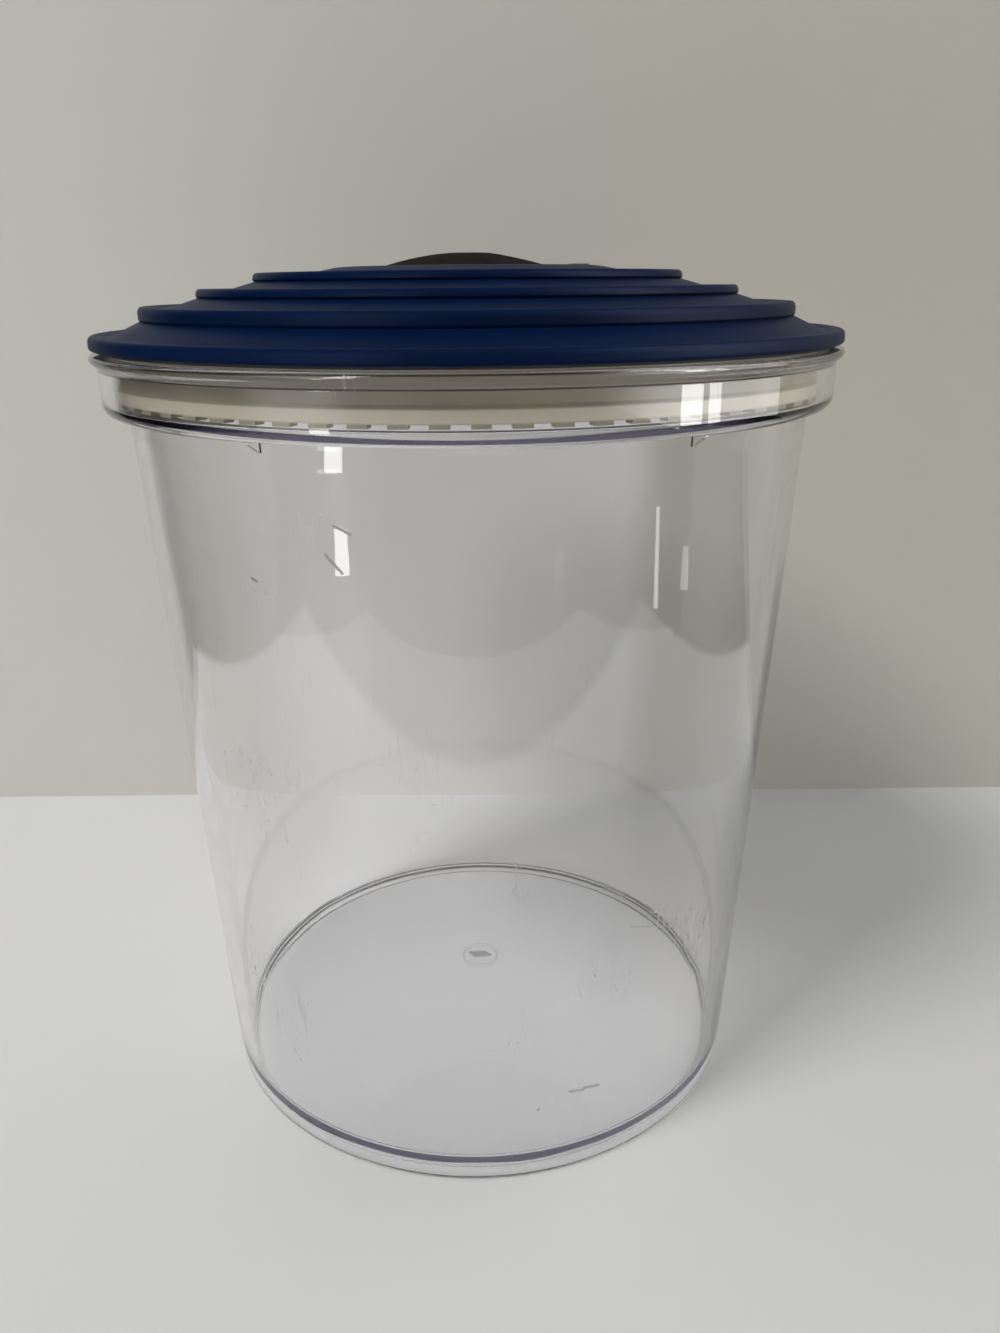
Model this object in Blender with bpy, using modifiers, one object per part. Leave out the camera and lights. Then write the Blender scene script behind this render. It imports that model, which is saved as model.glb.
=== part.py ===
"""Round airtight canister: a clear moulded jar with a stepped lid and a valve dial.

Metres, +Z up. The origin is at the centre of the foot ring, on the surface that the jar stands on.
"""

import math

import bmesh
import bpy
from mathutils import Matrix

OBJECT_NAME = "airtight_canister"

# Round pieces
BODY_STEPS = 48
FRAME_STEPS = 72
SMALL_STEPS = 32
SMOOTH_ANGLE = math.radians(35)

# Clearances
GAP = 0.0003
OVERRUN = 0.0010
BURY = 0.0008
MERGE_DISTANCE = 0.000001

# Jar
BODY_HEIGHT = 0.1748
BASE_RADIUS = 0.0657
NECK_INSET = 0.0049
WALL = 0.0030
EDGE_ROUND = 0.0006
FOOT_WIDTH = 0.0024
FOOT_RECESS = 0.0028
FLOOR_THICKNESS = 0.0018
FLOOR_RISE = 0.0067
FLOOR_FILLET = 0.0020

# Jar's collar, its ledge and its rim
COLLAR_HEIGHT = 0.0118
COLLAR_RADIUS = 0.0789
COLLAR_CORNER = 0.0024
LEDGE_THICKNESS = 0.0022
LEDGE_FILLET = 0.0005
BEAD_PROUD = 0.0014
BEAD_HEIGHT = 0.0026
BEAD_ROUND = 0.0009
GUSSET_COUNT = 6
GUSSET_REACH = 0.0024
GUSSET_HEIGHT = 0.0030
GUSSET_THICKNESS = 0.0009
GUSSET_FIRST_ANGLE = math.radians(31)

# Lid cover
COVER_WALL = 0.0018
BRIM_OVERHANG = 0.0011
BRIM_GAP = 0.0008
BRIM_HEIGHT = 0.0027
BRIM_LIP = 0.0009
RING_INSETS = (0.01015, 0.0219, 0.0337)
RING_RISES = (0.0053, 0.0033, 0.0030)
LIP_HEIGHTS = (0.0027, 0.0017, 0.0016)
LIP_ROUND = 0.0011
LIP_WIDTH = 0.0034
DISH_DEPTH = 0.0005
SLOPE_WIDTH = 0.0060
PLATEAU_MARGIN = 0.0096
PLATEAU_SLOPE = 0.0080
PLATEAU_RISE = 0.0011
WELL_DEPTH = 0.0014
LOCATING_RING_WALL = 0.0016
LOCATING_RING_HEIGHT = 0.0023

# Index tab on the plateau, where the dial points when the valve is open
TAB_LENGTH_SHARE = 0.44
TAB_WIDTH = 0.0034
TAB_PROUD = 0.0005
TAB_SUNK = 0.0008
TAB_INSET = 0.0012
TAB_ANGLE = math.radians(11.6)

# Lid frame: skirt, plate, valve boss and screen socket
SKIRT_CLEARANCE = 0.0004
SKIRT_LIFT = 0.0007
SKIRT_WALL = 0.0023
SKIRT_STEP = 0.0006
SKIRT_BAND_HEIGHT = 0.0031
SKIRT_DEPTH = 0.0051
NOTCH_HEIGHT = 0.0007
NOTCH_WIDTH = 0.0032
PLATE_THICKNESS = 0.0018
RIB_COUNT = 6
RIB_HEIGHT = 0.0020
RIB_THICKNESS = 0.0014
SEAT_RADIUS = 0.0034
GUIDE_RADIUS = 0.0066
GUIDE_HEIGHT = 0.0054
BOSS_WALL = 0.0018
BOSS_GAP = 0.0006
SOCKET_RADIUS = 0.0110
SOCKET_WALL = 0.0013
SOCKET_DEPTH = 0.0024

# Rim gasket
GASKET_THICKNESS = 0.0013
GASKET_LIP_DROP = 0.0004
GASKET_LIP_SHARE = 0.3

# Dial
DIAL_RADIUS = 0.0185
DIAL_CLEARANCE = 0.0004
DIAL_PROUD = 0.0001
DIAL_DOME = 0.0028
DOME_SHARES = (0.5, 0.8, 1.0)
THUMB_FLAT_START = 0.0042
THUMB_FLAT_SLOPE = math.radians(15.8)
THUMB_FLAT_TURN = math.radians(-27)
STEM_RADIUS = 0.0101
STEM_CLEARANCE = 0.0004
CHAMBER_RADIUS = 0.0070
SHOULDER_DROP = 0.0015
PORT_RADIUS = 0.0032
PORT_SEAL_WALL = 0.0009
PORT_SEAL_HEIGHT = 0.0026

# Cam inside the dial's stem
VALVE_LIFT = 0.0020
CAM_TURN = math.radians(120)
CAM_START = math.radians(22)
CAM_STEP = math.radians(10)
CAM_LOBES = 2
CAM_BASE = 0.0017
CAM_PLAY = 0.0006
CAM_RADIUS = 0.0050

# Stem seal and retaining ring
O_RING_SECTION = 0.0014
O_RING_DROP = 0.0025
CLIP_THICKNESS = 0.0007
CLIP_GROOVE_DEPTH = 0.0010
CLIP_REACH = 0.0017
CLIP_MOUTH = 0.0060

# Valve
DISC_THICKNESS = 0.0012
DISC_RADIUS = 0.0056
FLANGE_THICKNESS = 0.0012
GUIDE_CLEARANCE = 0.0004
POST_RADIUS = 0.0030
PILOT_HEIGHT = 0.0016
TAIL_RADIUS = 0.0011
TAIL_BULB_RADIUS = 0.0018
TAIL_BULB_HEIGHT = 0.0010
ARM_WIDTH = 0.0020
ARM_THICKNESS = 0.0015
ARM_CLEARANCE = 0.0004
VENT_COUNT = 3
VENT_WIDTH = 0.0026
VENT_DEPTH = 0.0014
SPRING_WIRE = 0.0006
SPRING_TURNS = 4
SPRING_POINTS = 10

# Valve screen
SCREEN_THICKNESS = 0.0012
SCREEN_RECESS = 0.0004
SLOT_COUNT = 6
SLOT_WIDTH = 0.0016
SLOT_START = 0.0030
SLOT_END = 0.0088

# Levels worked out from the sizes above, from the table up
FLOOR_LEVEL = FOOT_RECESS + FLOOR_THICKNESS
LEDGE_UNDER = BODY_HEIGHT - COLLAR_HEIGHT
LEDGE_TOP = LEDGE_UNDER + LEDGE_THICKNESS
SKIRT_BOTTOM = LEDGE_TOP + SKIRT_LIFT
PLATE_UNDER = SKIRT_BOTTOM + SKIRT_DEPTH
PLATE_TOP = PLATE_UNDER + PLATE_THICKNESS
SOCKET_BOTTOM = PLATE_UNDER - SOCKET_DEPTH
GASKET_BOTTOM = BODY_HEIGHT + GAP
GASKET_TOP = GASKET_BOTTOM + GASKET_THICKNESS
COVER_SEAT = GASKET_TOP + GAP
BRIM_BOTTOM = BODY_HEIGHT + BRIM_GAP
BRIM_TOP = BRIM_BOTTOM + BRIM_HEIGHT
RING_TOPS = tuple(BRIM_TOP + sum(RING_RISES[:count + 1]) for count in range(len(RING_RISES)))
PLATEAU_TOP = RING_TOPS[-1] + PLATEAU_RISE
WELL_FLOOR = PLATEAU_TOP - WELL_DEPTH
HUB_UNDER = WELL_FLOOR - COVER_WALL
DIAL_BOTTOM = WELL_FLOOR + GAP
DIAL_EDGE = PLATEAU_TOP + DIAL_PROUD
DIAL_TOP = DIAL_EDGE + DIAL_DOME
SHOULDER = DIAL_BOTTOM - SHOULDER_DROP
CLIP_TOP = HUB_UNDER - GAP
CLIP_BOTTOM = CLIP_TOP - CLIP_THICKNESS
BOSS_TOP = CLIP_BOTTOM - BOSS_GAP
GUIDE_TOP = PLATE_TOP + GUIDE_HEIGHT
STEM_BOTTOM = GUIDE_TOP + GAP
CAM_LOW = STEM_BOTTOM + CAM_BASE
DISC_BOTTOM = PLATE_TOP + GAP
DISC_TOP = DISC_BOTTOM + DISC_THICKNESS
FLANGE_BOTTOM = DISC_TOP + GAP
FLANGE_TOP = FLANGE_BOTTOM + FLANGE_THICKNESS
ARM_BOTTOM = CAM_LOW + CAM_PLAY
ARM_TOP = ARM_BOTTOM + ARM_THICKNESS
O_RING_LEVEL = BOSS_TOP - O_RING_DROP

# Radii worked out from the sizes above
FOOT_INNER = BASE_RADIUS - FOOT_WIDTH
NECK_RADIUS = COLLAR_RADIUS - NECK_INSET
COLLAR_INNER = COLLAR_RADIUS - WALL
BRIM_RADIUS = COLLAR_RADIUS + BRIM_OVERHANG
RING_RADII = tuple(BRIM_RADIUS - inset for inset in RING_INSETS)
SKIRT_RADIUS = COLLAR_INNER - SKIRT_CLEARANCE
SKIRT_INNER = SKIRT_RADIUS - SKIRT_WALL
UPSTAND_RADIUS = SKIRT_RADIUS - SKIRT_STEP
LIP_INNER = BRIM_RADIUS - BRIM_LIP
HOLE_RADIUS = STEM_RADIUS + STEM_CLEARANCE
BOSS_RADIUS = HOLE_RADIUS + BOSS_WALL
WELL_RADIUS = DIAL_RADIUS + DIAL_CLEARANCE
PLATEAU_RADIUS = WELL_RADIUS + PLATEAU_MARGIN
TAB_LENGTH = PLATEAU_MARGIN * TAB_LENGTH_SHARE
SEAL_POCKET_RADIUS = PORT_RADIUS + PORT_SEAL_WALL
CLIP_GROOVE_RADIUS = STEM_RADIUS - CLIP_GROOVE_DEPTH
O_RING_MIDDLE = HOLE_RADIUS - GAP - O_RING_SECTION / 2
O_RING_GROOVE_RADIUS = O_RING_MIDDLE - O_RING_SECTION / 2 - GAP
FLANGE_RADIUS = GUIDE_RADIUS - GUIDE_CLEARANCE
SPRING_RADIUS = (POST_RADIUS + CHAMBER_RADIUS) / 2


# Helpers


def clear_scene():
    """Remove every object and mesh that the open file holds."""
    for item in list(bpy.data.objects):
        bpy.data.objects.remove(item, do_unlink=True)


def new_collection(name):
    """Return a new collection linked to the scene."""
    group = bpy.data.collections.new(name)
    bpy.context.scene.collection.children.link(group)
    return group


def finish(name, colour, roughness, clear=0.0):
    """Return a plastic, rubber or metal finish as a Principled material."""
    material = bpy.data.materials.new(name)
    material.use_nodes = True
    shader = material.node_tree.nodes["Principled BSDF"]
    shader.inputs["Base Color"].default_value = (*colour, 1.0)
    shader.inputs["Roughness"].default_value = roughness
    shader.inputs["Transmission Weight"].default_value = clear
    return material


def arc(middle_r, middle_z, radius, start_deg, end_deg, steps):
    """Return points (r, z) along an arc, both ends included."""
    points = []
    for step in range(steps + 1):
        angle = math.radians(start_deg + (end_deg - start_deg) * step / steps)
        points.append((middle_r + radius * math.cos(angle), middle_z + radius * math.sin(angle)))
    return points


def place(name, mesh, group, material=None):
    """Make an object of a mesh, in a collection."""
    item = bpy.data.objects.new(name, mesh)
    group.objects.link(item)
    if material:
        mesh.materials.append(material)
    return item


def as_cutter(item):
    """Mark an object as a tool that the part leaves out."""
    item.hide_render = True
    item.display_type = "WIRE"
    return item


def turned(name, profile, group, material=None, steps=SMALL_STEPS, closed=True):
    """Turn a profile of (r, z) points about Z.

    The profile runs down its outer side. An open one starts and ends on the axis.
    """
    mesh = bpy.data.meshes.new(name)
    edges = [(index, index + 1) for index in range(len(profile) - 1)]
    if closed:
        edges.append((len(profile) - 1, 0))
    mesh.from_pydata([(r, 0.0, z) for r, z in profile], edges, [])
    item = place(name, mesh, group, material)
    turn = item.modifiers.new("turn", "SCREW")
    turn.axis = "Z"
    turn.angle = math.tau
    turn.steps = steps
    turn.render_steps = steps
    turn.use_merge_vertices = True
    turn.merge_threshold = MERGE_DISTANCE
    turn.use_smooth_shade = True
    return item


def prism(bm, outline, thickness, matrix):
    """Add an upright outline of (x, z) points, given a thickness along Y, to a bmesh."""
    corners = [bm.verts.new((x, -thickness / 2, z)) for x, z in outline]
    face = bm.faces.new(corners)
    grown = bmesh.ops.extrude_face_region(bm, geom=[face])
    moved = [item for item in grown["geom"] if isinstance(item, bmesh.types.BMVert)]
    bmesh.ops.translate(bm, verts=moved, vec=(0.0, thickness, 0.0))
    bmesh.ops.transform(bm, verts=corners + moved, matrix=matrix)


def box(bm, low, high, matrix):
    """Add a box between two corners to a bmesh."""
    size = [top - bottom for bottom, top in zip(low, high)]
    middle = [(top + bottom) / 2 for bottom, top in zip(low, high)]
    shape = matrix @ Matrix.Translation(middle) @ Matrix.Diagonal((*size, 1.0))
    bmesh.ops.create_cube(bm, size=1.0, matrix=shape)


def from_bmesh(name, bm, group, material=None):
    """Finish a bmesh as an object with its faces pointing out."""
    bmesh.ops.recalc_face_normals(bm, faces=bm.faces)
    mesh = bpy.data.meshes.new(name)
    bm.to_mesh(mesh)
    bm.free()
    return place(name, mesh, group, material)


def combine(item, tool, operation):
    """Cut, join or trim an object with a tool object."""
    step = item.modifiers.new(operation.lower() + "_" + tool.name, "BOOLEAN")
    step.operation = operation
    step.object = tool
    step.solver = "EXACT"


def around(count, first=0.0):
    """Yield the turns about Z of a ring of equal pieces."""
    for index in range(count):
        yield Matrix.Rotation(first + math.tau * index / count, 4, "Z")


# Jar


def wall_radius(height):
    """Return the outer radius of the tapering wall at a height."""
    return BASE_RADIUS + (NECK_RADIUS - BASE_RADIUS) * height / LEDGE_UNDER


def floor_dome(foot_radius, foot_level, steps=5):
    """Return the pushed-up floor's curve, from the axis out to its foot."""
    sphere = (foot_radius ** 2 + FLOOR_RISE ** 2) / (2 * FLOOR_RISE)
    points = []
    for step in range(steps + 1):
        radius = foot_radius * step / steps
        drop = sphere - math.sqrt(sphere ** 2 - radius ** 2)
        points.append((radius, foot_level + FLOOR_RISE - drop))
    return points


def jar_profile():
    """Return the jar's section, from the inside of its floor over the rim to its underside."""
    fillet_level = FLOOR_LEVEL + FLOOR_FILLET
    fillet_radius = wall_radius(fillet_level) - WALL - FLOOR_FILLET
    inner_neck = wall_radius(LEDGE_TOP - EDGE_ROUND) - WALL
    bead_radius = COLLAR_RADIUS + BEAD_PROUD
    points = floor_dome(fillet_radius, FLOOR_LEVEL)[:-1]
    points += arc(fillet_radius, fillet_level, FLOOR_FILLET, -90, 0, 3)
    points += [(inner_neck, LEDGE_TOP - EDGE_ROUND), (inner_neck + EDGE_ROUND, LEDGE_TOP)]
    points += [(COLLAR_INNER - LEDGE_FILLET, LEDGE_TOP), (COLLAR_INNER, LEDGE_TOP + LEDGE_FILLET)]
    points += [(COLLAR_INNER, BODY_HEIGHT - EDGE_ROUND), (COLLAR_INNER + EDGE_ROUND, BODY_HEIGHT)]
    points += arc(bead_radius - BEAD_ROUND, BODY_HEIGHT - BEAD_ROUND, BEAD_ROUND, 90, 0, 2)
    points += [(bead_radius, BODY_HEIGHT - BEAD_HEIGHT / 2), (COLLAR_RADIUS, BODY_HEIGHT - BEAD_HEIGHT)]
    corner_radius = COLLAR_RADIUS - COLLAR_CORNER
    points += arc(corner_radius, LEDGE_UNDER + COLLAR_CORNER, COLLAR_CORNER, 0, -90, 3)
    points += [(NECK_RADIUS, LEDGE_UNDER), (wall_radius(EDGE_ROUND), EDGE_ROUND)]
    points += [(BASE_RADIUS - EDGE_ROUND, 0.0), (FOOT_INNER, 0.0)]
    points += floor_dome(FOOT_INNER, FOOT_RECESS)[::-1]
    return points


def add_jar(parts, tools):
    """Make the clear jar with the six small gussets under its collar."""
    clear = finish("clear_plastic", (0.88, 0.88, 0.92), 0.05, clear=1.0)
    jar = turned("canister_body", jar_profile(), parts, clear, BODY_STEPS, closed=False)
    foot = LEDGE_UNDER - GUSSET_HEIGHT
    outline = [
        (NECK_RADIUS - BURY, LEDGE_UNDER + BURY),
        (NECK_RADIUS + GUSSET_REACH, LEDGE_UNDER + BURY),
        (NECK_RADIUS + GUSSET_REACH, LEDGE_UNDER),
        (wall_radius(foot), foot),
        (wall_radius(foot) - BURY, foot),
    ]
    bm = bmesh.new()
    for turn in around(GUSSET_COUNT, GUSSET_FIRST_ANGLE - math.pi / 2):
        prism(bm, outline, GUSSET_THICKNESS, turn)
    gussets = as_cutter(from_bmesh("gusset_tool", bm, tools))
    combine(jar, gussets, "UNION")


# Lid cover


def lip_section(radius, top):
    """Return a raised lip: the dish inside it and its rounded top."""
    points = [(radius - LIP_WIDTH, top - DISH_DEPTH)]
    points += arc(radius - LIP_ROUND, top - LIP_ROUND, LIP_ROUND, 90, 0, 3)
    return points


def ring_section(radius, top, lip_height, base):
    """Return one raised ring of the cover: its lip and the slope down to the next dish."""
    foot = [(radius, top - lip_height), (radius + SLOPE_WIDTH, base)]
    return lip_section(radius, top) + foot


def cover_profile():
    """Return the cover's section, out over the rings and the brim and back underneath."""
    points = [(HOLE_RADIUS, WELL_FLOOR), (WELL_RADIUS, WELL_FLOOR), (WELL_RADIUS, PLATEAU_TOP)]
    points += [(PLATEAU_RADIUS, PLATEAU_TOP), (PLATEAU_RADIUS + PLATEAU_SLOPE, RING_TOPS[-1] - DISH_DEPTH)]
    bases = [top - DISH_DEPTH for top in (BRIM_TOP,) + RING_TOPS[:-1]]
    for ring in list(zip(RING_RADII, RING_TOPS, LIP_HEIGHTS, bases))[::-1]:
        points += ring_section(*ring)
    points += lip_section(BRIM_RADIUS, BRIM_TOP)
    points += [(BRIM_RADIUS, BRIM_BOTTOM + BRIM_LIP / 2), (BRIM_RADIUS - BRIM_LIP / 2, BRIM_BOTTOM)]
    points += [(LIP_INNER, BRIM_BOTTOM), (LIP_INNER, COVER_SEAT)]
    ring_outer = SKIRT_INNER - GAP
    ring_inner = ring_outer - LOCATING_RING_WALL
    ring_bottom = COVER_SEAT - LOCATING_RING_HEIGHT
    points += [(ring_outer, COVER_SEAT), (ring_outer, ring_bottom)]
    points += [(ring_inner, ring_bottom), (ring_inner, COVER_SEAT)]
    unders = [top - DISH_DEPTH - COVER_WALL for top in RING_TOPS[:-1]] + [HUB_UNDER]
    level = COVER_SEAT
    for radius, under in zip(RING_RADII, unders):
        points += [(radius - COVER_WALL, level), (radius - COVER_WALL, under)]
        level = under
    points += [(HOLE_RADIUS, HUB_UNDER)]
    return points


def tab_corners(clearance):
    """Return the index tab's low and high corners, grown by a clearance."""
    outer = PLATEAU_RADIUS - TAB_INSET + clearance
    side = TAB_WIDTH / 2 + clearance
    low = (PLATEAU_RADIUS - TAB_INSET - TAB_LENGTH - clearance, -side, PLATEAU_TOP - TAB_SUNK - clearance)
    return low, (outer, side, PLATEAU_TOP + TAB_PROUD)


def add_cover(parts, tools):
    """Make the stepped cover and the index tab let into its plateau."""
    navy = finish("navy_plastic", (0.012, 0.045, 0.125), 0.42)
    cover = turned("lid_cover", cover_profile(), parts, navy, BODY_STEPS)
    turn = Matrix.Rotation(TAB_ANGLE, 4, "Z")
    bm = bmesh.new()
    box(bm, *tab_corners(GAP), turn)
    combine(cover, as_cutter(from_bmesh("tab_pocket_tool", bm, tools)), "DIFFERENCE")
    dark = finish("dark_grey_plastic", (0.05, 0.045, 0.04), 0.45)
    bm = bmesh.new()
    box(bm, *tab_corners(0.0), turn)
    from_bmesh("index_tab", bm, parts, dark)


# Lid frame


def frame_profile():
    """Return the frame's section: skirt, plate, screen socket, valve seat and boss."""
    step_level = SKIRT_BOTTOM + SKIRT_BAND_HEIGHT
    return [
        (UPSTAND_RADIUS, COVER_SEAT - GAP),
        (UPSTAND_RADIUS, step_level + SKIRT_STEP),
        (SKIRT_RADIUS, step_level),
        (SKIRT_RADIUS, SKIRT_BOTTOM + LEDGE_FILLET),
        (SKIRT_RADIUS - LEDGE_FILLET, SKIRT_BOTTOM),
        (SKIRT_INNER, SKIRT_BOTTOM),
        (SKIRT_INNER, PLATE_UNDER),
        (SOCKET_RADIUS + SOCKET_WALL, PLATE_UNDER),
        (SOCKET_RADIUS + SOCKET_WALL, SOCKET_BOTTOM),
        (SOCKET_RADIUS, SOCKET_BOTTOM),
        (SOCKET_RADIUS, PLATE_UNDER),
        (SEAT_RADIUS, PLATE_UNDER),
        (SEAT_RADIUS, PLATE_TOP),
        (GUIDE_RADIUS, PLATE_TOP),
        (GUIDE_RADIUS, GUIDE_TOP),
        (HOLE_RADIUS, GUIDE_TOP),
        (HOLE_RADIUS, BOSS_TOP),
        (BOSS_RADIUS, BOSS_TOP),
        (BOSS_RADIUS, PLATE_TOP),
        (SKIRT_INNER, PLATE_TOP),
        (SKIRT_INNER, COVER_SEAT - GAP),
    ]


def add_frame(parts, tools):
    """Make the cream frame with its notched skirt and the ribs on its plate."""
    cream = finish("cream_plastic", (0.72, 0.68, 0.58), 0.4)
    frame = turned("lid_frame", frame_profile(), parts, cream, FRAME_STEPS)
    bm = bmesh.new()
    for turn in around(RIB_COUNT):
        low = (BOSS_RADIUS - BURY, -RIB_THICKNESS / 2, PLATE_TOP - BURY)
        high = (SKIRT_INNER - LOCATING_RING_WALL - BURY, RIB_THICKNESS / 2, PLATE_TOP + RIB_HEIGHT)
        box(bm, low, high, turn)
    combine(frame, as_cutter(from_bmesh("rib_tool", bm, tools)), "UNION")
    bm = bmesh.new()
    for turn in around(FRAME_STEPS, math.pi / FRAME_STEPS):
        low = (SKIRT_INNER - OVERRUN, -NOTCH_WIDTH / 2, SKIRT_BOTTOM - OVERRUN)
        high = (SKIRT_RADIUS + OVERRUN, NOTCH_WIDTH / 2, SKIRT_BOTTOM + NOTCH_HEIGHT)
        box(bm, low, high, turn)
    combine(frame, as_cutter(from_bmesh("notch_tool", bm, tools)), "DIFFERENCE")


def add_gasket(parts):
    """Make the rim gasket, a flat ring with a lip that meets the middle of the rim."""
    inner = UPSTAND_RADIUS + GAP
    outer = LIP_INNER - GAP
    shoulder = GASKET_BOTTOM + GASKET_LIP_DROP
    lip = (outer - inner) * GASKET_LIP_SHARE
    profile = [
        (outer, GASKET_TOP),
        (outer, shoulder),
        (outer - lip / 2, GASKET_BOTTOM),
        (inner + lip, GASKET_BOTTOM),
        (inner, shoulder),
        (inner, GASKET_TOP),
    ]
    black = finish("black_rubber", (0.012, 0.012, 0.014), 0.6)
    turned("lid_gasket", profile, parts, black, BODY_STEPS)


# Dial


def dome_height(radius):
    """Return the level of the dial's dome at a radius."""
    sphere = (DIAL_RADIUS ** 2 + DIAL_DOME ** 2) / (2 * DIAL_DOME)
    return DIAL_TOP - sphere + math.sqrt(sphere ** 2 - radius ** 2)


def dial_profile():
    """Return the dial's section: seal pocket, dome, stem with two grooves, cam bore and port."""
    points = [(SEAL_POCKET_RADIUS, dome_height(SEAL_POCKET_RADIUS))]
    for share in DOME_SHARES:
        points.append((DIAL_RADIUS * share, dome_height(DIAL_RADIUS * share)))
    points += [(DIAL_RADIUS, DIAL_BOTTOM), (STEM_RADIUS, DIAL_BOTTOM)]
    points += [(STEM_RADIUS, CLIP_TOP + GAP), (CLIP_GROOVE_RADIUS, CLIP_TOP + GAP)]
    points += [(CLIP_GROOVE_RADIUS, CLIP_BOTTOM - GAP), (STEM_RADIUS, CLIP_BOTTOM - GAP)]
    groove_half = O_RING_SECTION / 2 + GAP
    points += [(STEM_RADIUS, O_RING_LEVEL + groove_half), (O_RING_GROOVE_RADIUS, O_RING_LEVEL + groove_half)]
    points += [(O_RING_GROOVE_RADIUS, O_RING_LEVEL - groove_half), (STEM_RADIUS, O_RING_LEVEL - groove_half)]
    points += [(STEM_RADIUS, STEM_BOTTOM), (CAM_RADIUS, STEM_BOTTOM), (CAM_RADIUS, CAM_LOW)]
    points += [(CHAMBER_RADIUS, CAM_LOW), (CHAMBER_RADIUS, SHOULDER), (PORT_RADIUS, SHOULDER)]
    pocket_floor = DIAL_TOP - PORT_SEAL_HEIGHT - GAP
    points += [(PORT_RADIUS, pocket_floor), (SEAL_POCKET_RADIUS, pocket_floor)]
    return points


def cam_level(angle):
    """Return the cam's level at an angle past the start of its lobe."""
    climbed = (angle - CAM_START) / CAM_TURN
    return CAM_LOW + VALVE_LIFT * min(max(climbed, 0.0), 1.0)


def cam_slice(bm, angle, level):
    """Add one upright cross-section of the cam's crown and return its corners in order."""
    inner = CAM_RADIUS
    outer = CHAMBER_RADIUS + BURY
    corners = ((inner, CAM_LOW - BURY), (outer, CAM_LOW - BURY), (outer, level), (inner, level))
    return [bm.verts.new((r * math.cos(angle), r * math.sin(angle), z)) for r, z in corners]


def cam_tool(tools):
    """Make the two climbing lobes that lift the valve's arms as the dial turns."""
    lobe = math.tau / CAM_LOBES
    steps = round((lobe - CAM_START) / CAM_STEP)
    bm = bmesh.new()
    for index in range(CAM_LOBES):
        slices = []
        for step in range(1, steps + 1):
            angle = CAM_START + (lobe - CAM_START) * step / steps
            slices.append(cam_slice(bm, index * lobe + CAM_START - angle, cam_level(angle)))
        for first, second in zip(slices, slices[1:]):
            for corner in range(4):
                following = (corner + 1) % 4
                bm.faces.new((first[corner], first[following], second[following], second[corner]))
        bm.faces.new(slices[0])
        bm.faces.new(slices[-1])
    return as_cutter(from_bmesh("cam_tool", bm, tools))


def thumb_flat_tool(tools):
    """Make the slanted block that leaves a flat for the thumb on one side of the dome."""
    bm = bmesh.new()
    reach = 2 * DIAL_RADIUS
    slope = Matrix.Rotation(THUMB_FLAT_SLOPE, 4, "Y")
    turn = Matrix.Rotation(THUMB_FLAT_TURN, 4, "Z")
    crease = dome_height(THUMB_FLAT_START)
    matrix = turn @ Matrix.Translation((THUMB_FLAT_START, 0.0, crease)) @ slope
    box(bm, (-THUMB_FLAT_START, -reach, 0.0), (reach, reach, reach), matrix)
    return as_cutter(from_bmesh("thumb_flat_tool", bm, tools))


def add_dial(parts, tools):
    """Make the dial with its stem and cam, and the seal in its port."""
    grey = finish("warm_grey_plastic", (0.115, 0.105, 0.09), 0.38)
    dial = turned("control_dial", dial_profile(), parts, grey)
    combine(dial, cam_tool(tools), "UNION")
    combine(dial, thumb_flat_tool(tools), "DIFFERENCE")
    rubber = finish("port_rubber", (0.02, 0.02, 0.022), 0.65)
    outer = SEAL_POCKET_RADIUS - GAP
    top = dome_height(outer)
    bottom = DIAL_TOP - PORT_SEAL_HEIGHT
    profile = [(outer, top), (outer, bottom), (PORT_RADIUS, bottom), (PORT_RADIUS, top)]
    turned("port_seal", profile, parts, rubber)


def add_o_ring(parts):
    """Make the seal in the stem's lower groove."""
    bpy.ops.mesh.primitive_torus_add(
        location=(0.0, 0.0, O_RING_LEVEL),
        major_radius=O_RING_MIDDLE,
        minor_radius=O_RING_SECTION / 2,
        major_segments=SMALL_STEPS,
        minor_segments=6,
    )
    ring = bpy.context.object
    ring.name = "stem_o_ring"
    for group in ring.users_collection:
        group.objects.unlink(ring)
    parts.objects.link(ring)
    ring.data.materials.append(finish("seal_rubber", (0.015, 0.015, 0.017), 0.55))
    ring.data.shade_smooth()


def add_clip(parts, tools):
    """Make the open ring that holds the dial's stem under the cover."""
    inner = CLIP_GROOVE_RADIUS + GAP
    outer = HOLE_RADIUS + CLIP_REACH
    profile = [(outer, CLIP_TOP), (outer, CLIP_BOTTOM), (inner, CLIP_BOTTOM), (inner, CLIP_TOP)]
    steel = finish("clip_steel", (0.55, 0.55, 0.56), 0.3)
    steel.node_tree.nodes["Principled BSDF"].inputs["Metallic"].default_value = 1.0
    clip = turned("retaining_clip", profile, parts, steel)
    bm = bmesh.new()
    low = (0.0, -CLIP_MOUTH / 2, CLIP_BOTTOM - OVERRUN)
    box(bm, low, (outer + OVERRUN, CLIP_MOUTH / 2, CLIP_TOP + OVERRUN), Matrix.Identity(4))
    combine(clip, as_cutter(from_bmesh("clip_mouth_tool", bm, tools)), "DIFFERENCE")


# Valve


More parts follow.
